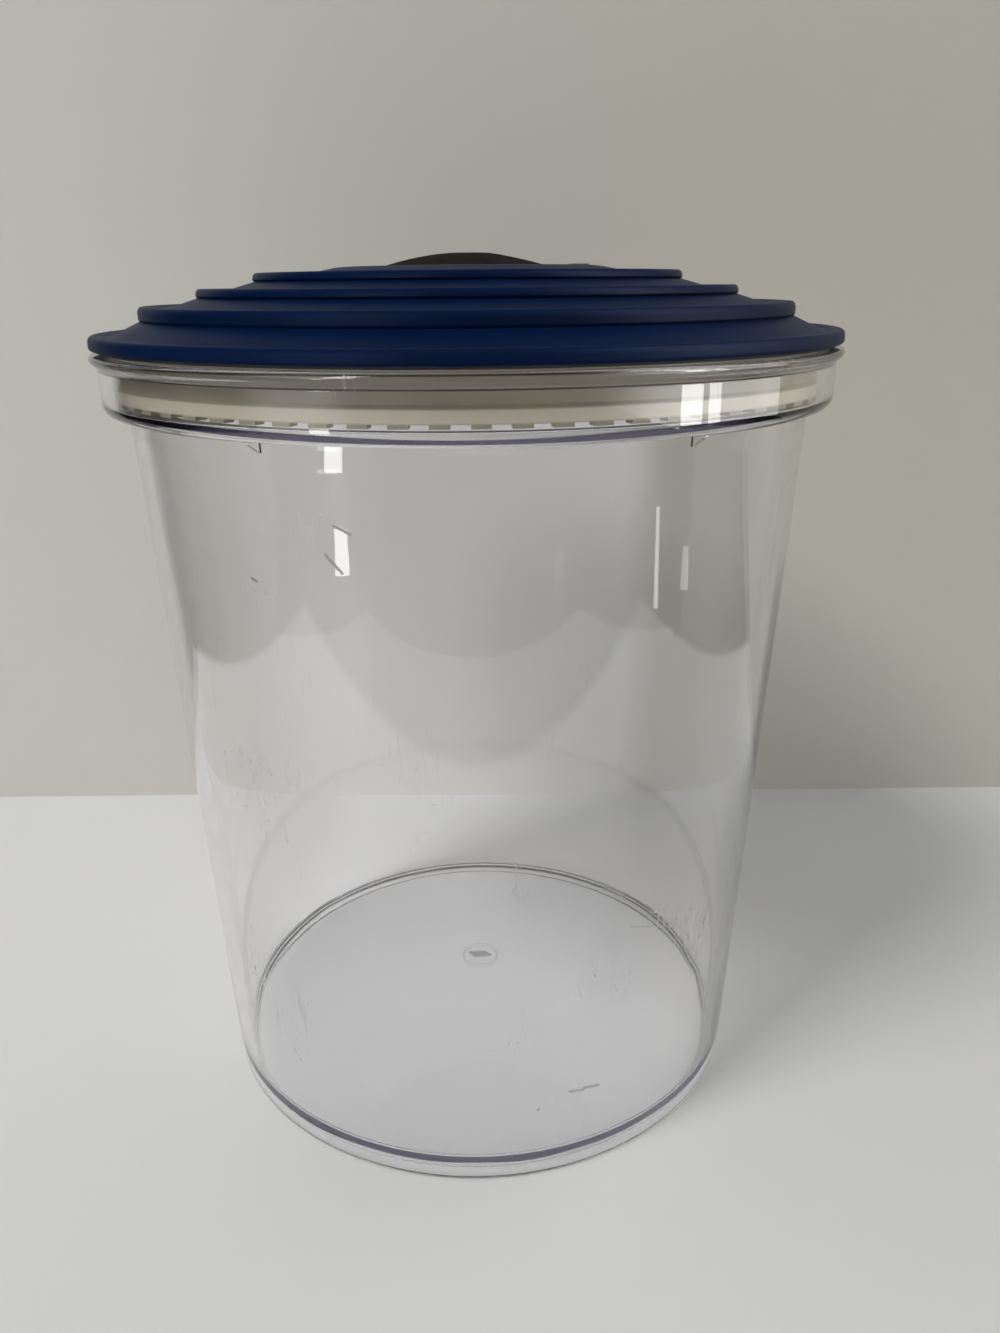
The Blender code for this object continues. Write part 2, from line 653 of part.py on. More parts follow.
def plunger_profile():
    """Return the plunger's section: spring pilot, post, flange and the tail with its bulb."""
    neck = DISC_BOTTOM - GAP
    bulb_middle = neck - TAIL_BULB_HEIGHT / 2
    return [
        (0.0, ARM_TOP + PILOT_HEIGHT),
        (POST_RADIUS - EDGE_ROUND, ARM_TOP + PILOT_HEIGHT),
        (POST_RADIUS, ARM_TOP + PILOT_HEIGHT - EDGE_ROUND),
        (POST_RADIUS, FLANGE_TOP),
        (FLANGE_RADIUS, FLANGE_TOP),
        (FLANGE_RADIUS, FLANGE_BOTTOM),
        (TAIL_RADIUS, FLANGE_BOTTOM),
        (TAIL_RADIUS, neck),
        (TAIL_BULB_RADIUS, bulb_middle),
        (TAIL_RADIUS, neck - TAIL_BULB_HEIGHT),
        (0.0, neck - TAIL_BULB_HEIGHT),
    ]


def add_plunger(parts, tools):
    """Make the plunger with its two lifting arms and the vents in its flange."""
    white = finish("white_plastic", (0.8, 0.8, 0.78), 0.35)
    plunger = turned("valve_plunger", plunger_profile(), parts, white, closed=False)
    reach = CHAMBER_RADIUS - ARM_CLEARANCE
    bm = bmesh.new()
    box(bm, (-reach, -ARM_WIDTH / 2, ARM_BOTTOM), (reach, ARM_WIDTH / 2, ARM_TOP), Matrix.Identity(4))
    combine(plunger, as_cutter(from_bmesh("arm_tool", bm, tools)), "UNION")
    bm = bmesh.new()
    for turn in around(VENT_COUNT, math.pi / 2):
        low = (FLANGE_RADIUS - VENT_DEPTH, -VENT_WIDTH / 2, FLANGE_BOTTOM - GAP / 2)
        high = (FLANGE_RADIUS + OVERRUN, VENT_WIDTH / 2, FLANGE_TOP + GAP / 2)
        box(bm, low, high, turn)
    combine(plunger, as_cutter(from_bmesh("vent_tool", bm, tools)), "DIFFERENCE")


def add_valve_disc(parts):
    """Make the rubber disc that closes the seat from above."""
    inner = TAIL_RADIUS + GAP
    profile = [(DISC_RADIUS, DISC_TOP), (DISC_RADIUS, DISC_BOTTOM), (inner, DISC_BOTTOM), (inner, DISC_TOP)]
    turned("valve_disc", profile, parts, finish("valve_rubber", (0.03, 0.03, 0.032), 0.6))


def add_spring(parts):
    """Make the coil that presses the plunger down, one unbroken wire."""
    low = ARM_TOP + GAP + SPRING_WIRE / 2
    high = SHOULDER - GAP - SPRING_WIRE / 2
    total = SPRING_TURNS * SPRING_POINTS
    curve = bpy.data.curves.new("valve_spring", "CURVE")
    curve.dimensions = "3D"
    curve.bevel_depth = SPRING_WIRE / 2
    curve.bevel_resolution = 1
    curve.use_fill_caps = True
    wire = curve.splines.new("POLY")
    wire.points.add(total)
    for index, point in enumerate(wire.points):
        angle = math.tau * index / SPRING_POINTS
        level = low + (high - low) * index / total
        point.co = (SPRING_RADIUS * math.cos(angle), SPRING_RADIUS * math.sin(angle), level, 1.0)
    steel = finish("spring_steel", (0.6, 0.6, 0.6), 0.25)
    steel.node_tree.nodes["Principled BSDF"].inputs["Metallic"].default_value = 1.0
    curve.materials.append(steel)
    parts.objects.link(bpy.data.objects.new("valve_spring", curve))
    print("least gap between the spring's turns", (high - low) / SPRING_TURNS - SPRING_WIRE)


def add_screen(parts, tools):
    """Make the slotted screen that keeps food out of the valve."""
    outer = SOCKET_RADIUS - GAP
    bottom = SOCKET_BOTTOM + SCREEN_RECESS
    top = bottom + SCREEN_THICKNESS
    profile = [(0.0, top), (outer, top), (outer, bottom), (0.0, bottom)]
    white = finish("screen_plastic", (0.76, 0.74, 0.68), 0.4)
    screen = turned("valve_screen", profile, parts, white, closed=False)
    bm = bmesh.new()
    for turn in around(SLOT_COUNT):
        low = (SLOT_START, -SLOT_WIDTH / 2, bottom - OVERRUN / 2)
        box(bm, low, (SLOT_END, SLOT_WIDTH / 2, top + OVERRUN / 2), turn)
    combine(screen, as_cutter(from_bmesh("slot_tool", bm, tools)), "DIFFERENCE")


def main():
    """Build the whole canister."""
    clear_scene()
    parts = new_collection(OBJECT_NAME)
    tools = new_collection("cutters")
    add_jar(parts, tools)
    add_cover(parts, tools)
    add_frame(parts, tools)
    add_gasket(parts)
    add_dial(parts, tools)
    add_o_ring(parts)
    add_clip(parts, tools)
    add_plunger(parts, tools)
    add_valve_disc(parts)
    add_spring(parts)
    add_screen(parts, tools)
    for item in parts.objects:
        if item.type == "MESH":
            item.data.set_sharp_from_angle(angle=SMOOTH_ANGLE)


main()
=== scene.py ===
"""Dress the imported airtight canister: clear jar, stepped navy lid, cream frame, seals and valve dial.

Metres, +Z up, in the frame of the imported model. The photographed side faces -Y.
"""

import logging
import math
from dataclasses import dataclass, field
from enum import Enum

import bmesh
import bpy
from mathutils import Matrix, Vector


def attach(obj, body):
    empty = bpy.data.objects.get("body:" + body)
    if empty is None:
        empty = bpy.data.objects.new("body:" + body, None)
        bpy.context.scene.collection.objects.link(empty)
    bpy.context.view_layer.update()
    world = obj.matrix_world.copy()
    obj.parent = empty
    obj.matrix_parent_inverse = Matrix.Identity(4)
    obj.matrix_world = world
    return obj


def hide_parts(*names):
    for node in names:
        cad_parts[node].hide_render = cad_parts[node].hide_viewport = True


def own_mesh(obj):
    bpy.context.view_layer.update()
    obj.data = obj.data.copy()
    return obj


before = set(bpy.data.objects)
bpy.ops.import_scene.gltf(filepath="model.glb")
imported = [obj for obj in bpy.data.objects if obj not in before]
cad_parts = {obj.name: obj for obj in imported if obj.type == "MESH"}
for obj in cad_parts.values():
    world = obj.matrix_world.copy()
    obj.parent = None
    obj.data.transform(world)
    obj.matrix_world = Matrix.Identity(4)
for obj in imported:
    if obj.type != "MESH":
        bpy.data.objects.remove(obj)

LOG = logging.getLogger("canister")
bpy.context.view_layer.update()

Colour = tuple[float, float, float]
Triple = tuple[float, float, float]
Pair = tuple[float, float]
Round = tuple[float, int]
MERGE = 0.000002


class Body(str, Enum):
    """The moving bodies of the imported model."""

    JAR = "jar"
    LID = "lid"
    DIAL = "dial"
    VALVE = "valve"


class Slot(str, Enum):
    """The material slots of the record."""

    CLEAR = "clear_plastic"
    NAVY = "navy_plastic"
    CREAM = "cream_plastic"
    BLACK = "black_rubber"
    WARM_GREY = "warm_grey_plastic"
    DARK_GREY = "dark_grey_plastic"
    WHITE = "white_plastic"
    STEEL = "spring_steel"


# Shader sheets


class Signal:
    """A shader socket whose arithmetic adds the nodes for it."""

    def __init__(self, sheet: "Sheet", socket: bpy.types.NodeSocket) -> None:
        """Keep the sheet and the output socket."""
        self.sheet = sheet
        self.socket = socket

    def _math(self, operation: str, first: object, second: object = None) -> "Signal":
        """Add a Math node for two values and return its result."""
        inputs = {0: first} if second is None else {0: first, 1: second}
        return self.sheet.add("ShaderNodeMath", {"operation": operation}, inputs)

    def __add__(self, other: object) -> "Signal":
        """Return the sum."""
        return self._math("ADD", self, other)

    __radd__ = __add__

    def __sub__(self, other: object) -> "Signal":
        """Return this value less another."""
        return self._math("SUBTRACT", self, other)

    def __rsub__(self, other: object) -> "Signal":
        """Return another value less this one."""
        return self._math("SUBTRACT", other, self)

    def __mul__(self, other: object) -> "Signal":
        """Return the product."""
        return self._math("MULTIPLY", self, other)

    __rmul__ = __mul__

    def most(self, other: object) -> "Signal":
        """Return the larger of two values."""
        return self._math("MAXIMUM", self, other)

    def least(self, other: object) -> "Signal":
        """Return the smaller of two values."""
        return self._math("MINIMUM", self, other)

    def above(self, other: object) -> "Signal":
        """Return 1 where this value is the larger, else 0."""
        return self._math("GREATER_THAN", self, other)

    def power(self, exponent: float) -> "Signal":
        """Return this value to a power."""
        return self._math("POWER", self, exponent)

    def size(self) -> "Signal":
        """Return the value without its sign."""
        return self._math("ABSOLUTE", self)

    def between(self, low: float, high: float) -> "Signal":
        """Return a smooth 0 to 1 as the value goes from low to high.

        Args:
            low: the value that gives 0.
            high: the value that gives 1.

        Returns:
            The eased value.
        """
        settings = {"interpolation_type": "SMOOTHSTEP"}
        inputs = {"Value": self, "From Min": low, "From Max": high}
        return self.sheet.add("ShaderNodeMapRange", settings, inputs)


class Sheet:
    """One material's node sheet, built from method calls."""

    LINE_CORE = 0.35

    def __init__(self, name: str, owner: bpy.types.World | bpy.types.Light | None = None) -> None:
        """Start an empty sheet.

        Args:
            name: the name of the new material.
            owner: the world or lamp that the sheet is for, in place of a material.
        """
        self.material = owner or bpy.data.materials.new(name)
        self.material.use_nodes = True
        self.tree = self.material.node_tree
        self.tree.nodes.clear()
        kind = {"World": "World", "AreaLight": "Light"}.get(type(self.material).__name__, "Material")
        self.output = self.tree.nodes.new("ShaderNodeOutput" + kind)

    def node(self, kind: str, settings: dict | None = None, inputs: dict | None = None) -> bpy.types.Node:
        """Add a node, set it and feed it.

        Args:
            kind: the node's type.
            settings: its properties, set first.
            inputs: values or signals for its sockets, by name or number.

        Returns:
            The node.
        """
        made = self.tree.nodes.new(kind)
        for key, value in (settings or {}).items():
            setattr(made, key, value)
        for key, value in (inputs or {}).items():
            if isinstance(value, Signal):
                self.tree.links.new(value.socket, made.inputs[key])
            else:
                made.inputs[key].default_value = value
        return made

    def add(
        self, kind: str, settings: dict | None = None, inputs: dict | None = None, output: object = 0
    ) -> Signal:
        """Add a node as node() does and return one of its outputs."""
        return Signal(self, self.node(kind, settings, inputs).outputs[output])

    def place(self) -> Signal:
        """Return the position in the object's own coordinates, in metres."""
        return self.add("ShaderNodeTexCoord", output="Object")

    def moved(self, place: Signal, scale: Triple, turn: Triple = (0.0,) * 3, shift: Triple = (0.0,) * 3) -> Signal:
        """Return a position scaled, turned and shifted."""
        inputs = {"Vector": place, "Scale": scale, "Rotation": turn, "Location": shift}
        return self.add("ShaderNodeMapping", {"vector_type": "POINT"}, inputs)

    def noise(self, place: Signal, grain: "Grain") -> Signal:
        """Return a noise value of about 0 to 1 over a position."""
        inputs = {"Vector": place, "Scale": grain.scale, "Detail": grain.detail, "Roughness": grain.roughness}
        return self.add("ShaderNodeTexNoise", {"noise_dimensions": "3D"}, inputs, "Fac")

    def split(self, place: Signal) -> tuple[Signal, Signal, Signal]:
        """Return the three parts of a position."""
        parts = self.node("ShaderNodeSeparateXYZ", inputs={"Vector": place})
        return tuple(Signal(self, parts.outputs[index]) for index in range(3))

    def vector(self, operation: str, first: object, second: object = None, output: object = 0) -> Signal:
        """Add a Vector Math node for one or two vectors and return an output."""
        inputs = {0: first} if second is None else {0: first, 1: second}
        return self.add("ShaderNodeVectorMath", {"operation": operation}, inputs, output)

    def radius(self, place: Signal) -> Signal:
        """Return the distance from the Z axis."""
        return self.vector("LENGTH", self.vector("MULTIPLY", place, (1.0, 1.0, 0.0)), output="Value")

    def line(self, place: Signal, start: Triple, end: Triple, half: float) -> Signal:
        """Return a line between two points.

        Args:
            place: the position.
            start: one end.
            end: the other end.
            half: half the line's width.

        Returns:
            1 on the line, 0 off it.
        """
        along = Vector(end) - Vector(start)
        offset = self.vector("SUBTRACT", place, start)
        scaled = tuple(along / along.length_squared)
        share = self.vector("DOT_PRODUCT", offset, scaled, "Value").most(0.0).least(1.0)
        foot = self.add("ShaderNodeVectorMath", {"operation": "SCALE"}, {0: tuple(along), "Scale": share})
        away = self.vector("LENGTH", self.vector("SUBTRACT", offset, foot), output="Value")
        return away.between(half, half * self.LINE_CORE)

    def blend(self, share: object, first: object, second: object) -> Signal:
        """Mix two colours.

        Args:
            share: how much of the second.
            first: a colour or signal.
            second: a colour or signal.

        Returns:
            The mixed colour.
        """
        colours = [value if isinstance(value, Signal) else (*value, 1.0) for value in (first, second)]
        inputs = {0: share, 6: colours[0], 7: colours[1]}
        return self.add("ShaderNodeMix", {"data_type": "RGBA"}, inputs, 2)

    def upward(self) -> Signal:
        """Return how far the surface faces up, from -1 to 1."""
        normal = self.add("ShaderNodeNewGeometry", output="Normal")
        return self.split(normal)[2]

    def bump(self, height: Signal, depth: float, strength: float = 1.0) -> Signal:
        """Return a normal raised by a height field of a depth in metres."""
        return self.add("ShaderNodeBump", inputs={"Height": height, "Distance": depth, "Strength": strength})

    def principled(self, inputs: dict) -> Signal:
        """Return a Principled shader."""
        return self.add("ShaderNodeBsdfPrincipled", inputs=inputs)

    def close(self, surface: Signal, volume: Signal | None = None) -> bpy.types.Material:
        """Feed the output and return the material."""
        self.tree.links.new(surface.socket, self.output.inputs["Surface"])
        if volume:
            self.tree.links.new(volume.socket, self.output.inputs["Volume"])
        return self.material


# Finishes


@dataclass(frozen=True)
class Grain:
    """A noise: its cells per metre, its octaves and how strong the finer ones are."""

    scale: float
    detail: float = 3.0
    roughness: float = 0.5


@dataclass(frozen=True)
class Band:
    """A level stripe of another colour between two levels, which paints light or shade onto a part."""

    low: float
    high: float
    colour: Colour
    low_edge: float = 0.0003
    high_edge: float = 0.0002


@dataclass(frozen=True)
class Opaque:
    """An opaque finish: two tones in a cloudy mix, with a fine grain in its shading."""

    name: str
    colour: Colour
    worn: Colour
    rough: float = 0.36
    rough_span: float = 0.12
    cloud: Grain = Grain(55.0, 4.0, 0.6)
    cloud_range: Pair = (0.3, 0.7)
    fine: Grain = Grain(2857.142857, 2.0, 0.6)
    fine_depth: float = 0.000012
    fine_strength: float = 0.6
    stretch: Triple | None = None
    gloss: float = 0.5
    metallic: float = 0.0

    def marked(self, sheet: Sheet, place: Signal, tone: Signal) -> tuple[Signal, object]:
        """Return the tone with the finish's own marks on it, and how much rougher they make it."""
        return tone, 0.0

    def make(self) -> bpy.types.Material:
        """Build the material."""
        sheet = Sheet(self.name)
        place = sheet.place()
        spread = sheet.moved(place, self.stretch) if self.stretch else place
        cloud = sheet.noise(spread, self.cloud)
        tone = sheet.blend(cloud.between(*self.cloud_range), self.colour, self.worn)
        base, rougher = self.marked(sheet, place, tone)
        inputs = {
            "Base Color": base,
            "Roughness": cloud * self.rough_span + self.rough + rougher,
            "Normal": sheet.bump(sheet.noise(spread, self.fine), self.fine_depth, self.fine_strength),
            "Specular IOR Level": self.gloss,
            "Metallic": self.metallic,
        }
        return sheet.close(sheet.principled(inputs))


@dataclass(frozen=True)
class Moulded(Opaque):
    """A satin moulded plastic, with dust on what faces up and level stripes of painted light and shade."""

    dust: float = 0.0
    dust_colour: Colour = (0.42, 0.42, 0.42)
    dust_rough: float = 0.5
    dust_level: Pair = (0.55, 1.0)
    speck: Grain = Grain(900.0, 3.0, 0.7)
    speck_range: Pair = (0.60, 0.74)
    speck_share: float = 0.75
    wiped: Grain = Grain(24.0, 3.0, 0.6)
    wiped_range: Pair = (0.35, 0.7)
    bands: tuple[Band, ...] = ()

    def marked(self, sheet: Sheet, place: Signal, tone: Signal) -> tuple[Signal, object]:
        """Return the tone with its dust and its stripes of painted light and shade, and how much rougher the dust is.
        """
        specks = sheet.noise(place, self.speck).between(*self.speck_range) * self.speck_share
        wiped = sheet.noise(place, self.wiped).between(*self.wiped_range)
        level = sheet.upward().between(*self.dust_level)
        settled = level * wiped * (specks + (1.0 - self.speck_share)) * self.dust
        base = sheet.blend(settled, tone, self.dust_colour)
        up = sheet.split(place)[2]
        # Each stripe paints a lighter or darker colour between its two levels, standing in for light and shade.
        for band in self.bands:
            over = up.between(band.low - band.low_edge, band.low + band.low_edge)
            under = up.between(band.high + band.high_edge, band.high - band.high_edge)
            base = sheet.blend(over * under, base, band.colour)
        return base, settled * self.dust_rough


@dataclass(frozen=True)
class Rubber(Opaque):
    """A matt black moulded rubber."""

    colour: Colour = (0.012, 0.012, 0.014)
    worn: Colour = (0.03, 0.03, 0.032)
    rough: float = 0.5
    rough_span: float = 0.2
    cloud: Grain = Grain(180.0, 4.0, 0.6)
    cloud_range: Pair = (0.35, 0.75)
    fine: Grain = Grain(3500.0, 2.0, 0.6)
    fine_depth: float = 0.00001
    fine_strength: float = 0.5


@dataclass(frozen=True)
class Steel(Opaque):
    """A drawn spring steel, with fine marks along its making."""

    colour: Colour = (0.62, 0.62, 0.63)
    worn: Colour = (0.42, 0.42, 0.44)
    rough: float = 0.2
    rough_span: float = 0.18
    cloud: Grain = Grain(900.0, 3.0, 0.6)
    cloud_range: Pair = (0.3, 0.8)
    fine: Grain = Grain(900.0, 3.0, 0.6)
    fine_depth: float = 0.00001
    fine_strength: float = 0.4
    stretch: Triple | None = (1.0, 1.0, 9.0)
    metallic: float = 1.0


@dataclass(frozen=True)
class Dial(Opaque):
    """The dial's warm grey plastic, with a small printed pointer near its front edge."""

    colour: Colour = (0.018, 0.016, 0.013)
    worn: Colour = (0.024, 0.021, 0.018)
    rough: float = 0.44
    rough_span: float = 0.14
    cloud: Grain = Grain(120.0, 4.0, 0.6)
    cloud_range: Pair = (0.3, 0.75)
    fine: Grain = Grain(2600.0, 2.0, 0.6)
    fine_depth: float = 0.00001
    gloss: float = 0.001
    print_colour: Colour = (0.012, 0.012, 0.012)
    pointer: Pair = (-0.0051, -0.0152)
    pointer_half: float = 0.0017
    pointer_length: float = 0.0026
    pointer_edge: float = 0.00012
    pointer_level: Pair = (0.5, 0.7)

    def marked(self, sheet: Sheet, place: Signal, tone: Signal) -> tuple[Signal, object]:
        """Return the tone with the printed pointer, which is no rougher."""
        across = math.atan2(self.pointer[1], self.pointer[0])
        east, north, _ = sheet.split(place)
        out = east * math.cos(across) + north * math.sin(across) - math.hypot(*self.pointer)
        side = (north * math.cos(across) - east * math.sin(across)).size()
        slope = (self.pointer_length / 2 - out) * (self.pointer_half / self.pointer_length)
        inside = (slope - side).between(0.0, self.pointer_edge)
        tip = (out + self.pointer_length / 2).between(0.0, self.pointer_edge)
        top = sheet.upward().between(*self.pointer_level)
        return sheet.blend(inside * tip * top, tone, self.print_colour), 0.0


@dataclass(frozen=True)
class Stroke:
    """One scratch or mark on the clear plastic: its ends, half its width and how dark it is."""

    start: Triple
    end: Triple
    half: float = 0.0004
    dark: float = 0.9


STROKES = (
    Stroke((-0.02346, -0.06939, 0.14922), (-0.02075, -0.07015, 0.14797)),
    Stroke((-0.02529, -0.06839, 0.14396), (-0.02263, -0.06922, 0.14096)),
    Stroke((-0.03998, -0.06067, 0.13799), (-0.03901, -0.06121, 0.13757)),
    Stroke((-0.05227, -0.04858, 0.11173), (-0.05257, -0.04782, 0.10665), 0.00015, 0.4),
    Stroke((0.02395, -0.04418, 0.00675), (0.02746, -0.04315, 0.00659), 0.00045),
    Stroke((0.02046, -0.04539, 0.00684), (0.02365, -0.04475, 0.00669), 0.00045),
    Stroke((0.0127, -0.0504, 0.0064), (0.0129, -0.0503, 0.0064), 0.0004),
    # This grey smear on the floor is a painted reflection.
    Stroke((0.04598, 0.02072, 0.00672), (0.05328, 0.02253, 0.00527), 0.0006, 0.35),
    Stroke((-0.0026, 0.0044, 0.0111), (-0.0012, 0.0030, 0.0111), 0.0009, 0.95),
    Stroke((-0.0010, 0.0037, 0.0111), (0.0010, 0.0037, 0.0111), 0.0019, 0.90),
    Stroke((0.0006, 0.0044, 0.0111), (0.0026, 0.0031, 0.0111), 0.0009, 0.95),
)


@dataclass(frozen=True)
class Clear:
    """A clear moulded plastic with a violet edge, fine scratches and a slight waviness."""

    name: str
    tint: Colour = (1.0, 1.0, 0.996)
    rough: float = 0.012
    ior: float = 1.57
    depth_colour: Colour = (0.35, 0.33, 0.47)
    depth_density: float = 16.0
    passed: Colour = (0.985, 0.985, 0.985)
    graze_power: float = 3.0
    graze_loss: float = 0.70
    wave: Grain = Grain(30.0, 2.0, 0.35)
    wave_stretch: Triple = (1.0, 1.0, 0.45)
    wave_depth: float = 0.00020
    calm: Pair = (0.1580, 0.1620)
    scratch: Grain = Grain(260.0, 1.0, 0.4)
    scratch_half: float = 0.006
    scratch_ways: tuple[tuple[float, Triple, float], ...] = (
        (0.5, (1.0, 1.0, 0.09), 0.0),
        (-0.4, (1.0, 1.0, 0.16), 0.31),
    )
    broken: Grain = Grain(38.0, 2.0, 0.5)
    broken_range: Pair = (0.60, 0.68)
    scuff: Colour = (0.62, 0.62, 0.64)
    scuff_share: float = 0.5
    scuff_rough: float = 0.35
    stroke: Colour = (0.16, 0.16, 0.165)
    stroke_rough: float = 0.3
    ring_centre: Triple = (0.0, 0.0036, 0.0)
    ring_radius: float = 0.0048
    ring_edges: Pair = (0.0005, 0.0001)
    ring_levels: Pair = (0.0120, 0.0118)
    ring_dark: float = 0.18

    def scratches(self, sheet: Sheet, place: Signal) -> Signal:
        """Return the fine scratches: thin broken lines in two directions.

        Args:
            sheet: the material's sheet.
            place: the position.

        Returns:
            0 where the surface is whole, up to 1 in a scratch.
        """
        broken = sheet.noise(place, self.broken).between(*self.broken_range)
        lines = []
        for turn, scale, shift in self.scratch_ways:
            leaned = sheet.moved(place, scale, (turn, turn, 0.0), (shift, 0.0, shift))
            middle = (sheet.noise(leaned, self.scratch) - 0.5).size()
            lines.append(middle.between(self.scratch_half, 0.0) * broken)
        return lines[0].most(lines[1])

    def strokes(self, sheet: Sheet, place: Signal) -> Signal:
        """Return the drawn strokes and the faint ring round the gate mark."""
        near = sheet.radius(sheet.vector("SUBTRACT", place, self.ring_centre))
        ring = (near - self.ring_radius).size().between(*self.ring_edges)
        marked = ring * sheet.split(place)[2].between(*self.ring_levels) * self.ring_dark
        for stroke in STROKES:
            line = sheet.line(place, stroke.start, stroke.end, stroke.half)
            marked = marked.most(line * stroke.dark)
        return marked

    def make(self) -> bpy.types.Material:
        """Build the material."""
        sheet = Sheet(self.name)
        place = sheet.place()
        scratch = self.scratches(sheet, place)
        marked = self.strokes(sheet, place)
        scuffed = sheet.blend(scratch * self.scuff_share, self.tint, self.scuff)
        wave = sheet.noise(sheet.moved(place, self.wave_stretch), self.wave)
        wavy = 1.0 - sheet.split(place)[2].between(*self.calm)
        inputs = {
            "Base Color": sheet.blend(marked, scuffed, self.stroke),
            "Roughness": scratch * self.scuff_rough + marked * self.stroke_rough + self.rough,
            "Normal": sheet.bump(wave * wavy, self.wave_depth),
            "IOR": self.ior,
            "Transmission Weight": 1.0,
        }
        through = sheet.add("ShaderNodeBsdfTransparent", inputs={"Color": (*self.passed, 1.0)})
        shadow = sheet.add("ShaderNodeLightPath", output="Is Shadow Ray")
        grazing = sheet.add("ShaderNodeLayerWeight", inputs={"Blend": 0.5}, output="Facing")
        kept = 1.0 - grazing.power(self.graze_power) * self.graze_loss
        faces = {0: shadow * kept, 1: sheet.principled(inputs), 2: through}
        depth = {"Color": (*self.depth_colour, 1.0), "Density": self.depth_density}
        volume = sheet.add("ShaderNodeVolumeAbsorption", inputs=depth)
        return sheet.close(sheet.add("ShaderNodeMixShader", inputs=faces), volume)


# Modelling

# Roundings of edges: the radius and its segments, from the sharpest up.
HAIR = (0.0001, 2)
TIGHT = (0.0002, 2)
CRISP = (0.0003, 2)
EASED = (0.0003, 3)
SOFT = (0.0004, 3)
EDGE = (0.0006, 4)


@dataclass(frozen=True)
class Corner:
    """One corner of a section: its radius, its level and how far it is rounded."""

    radius: float
    level: float
    round: float = 0.0
    segments: int = 4


def path(*rows: tuple) -> list[Corner]:
    """Return corners from rows of radius, level, rounding and segments."""
    return [Corner(*row) for row in rows]


def around(count: int, first: float = 0.0) -> list[Matrix]:
    """Return turns about Z, spaced evenly from a first angle."""
    return [Matrix.Rotation(first + math.tau * index / count, 4, "Z") for index in range(count)]


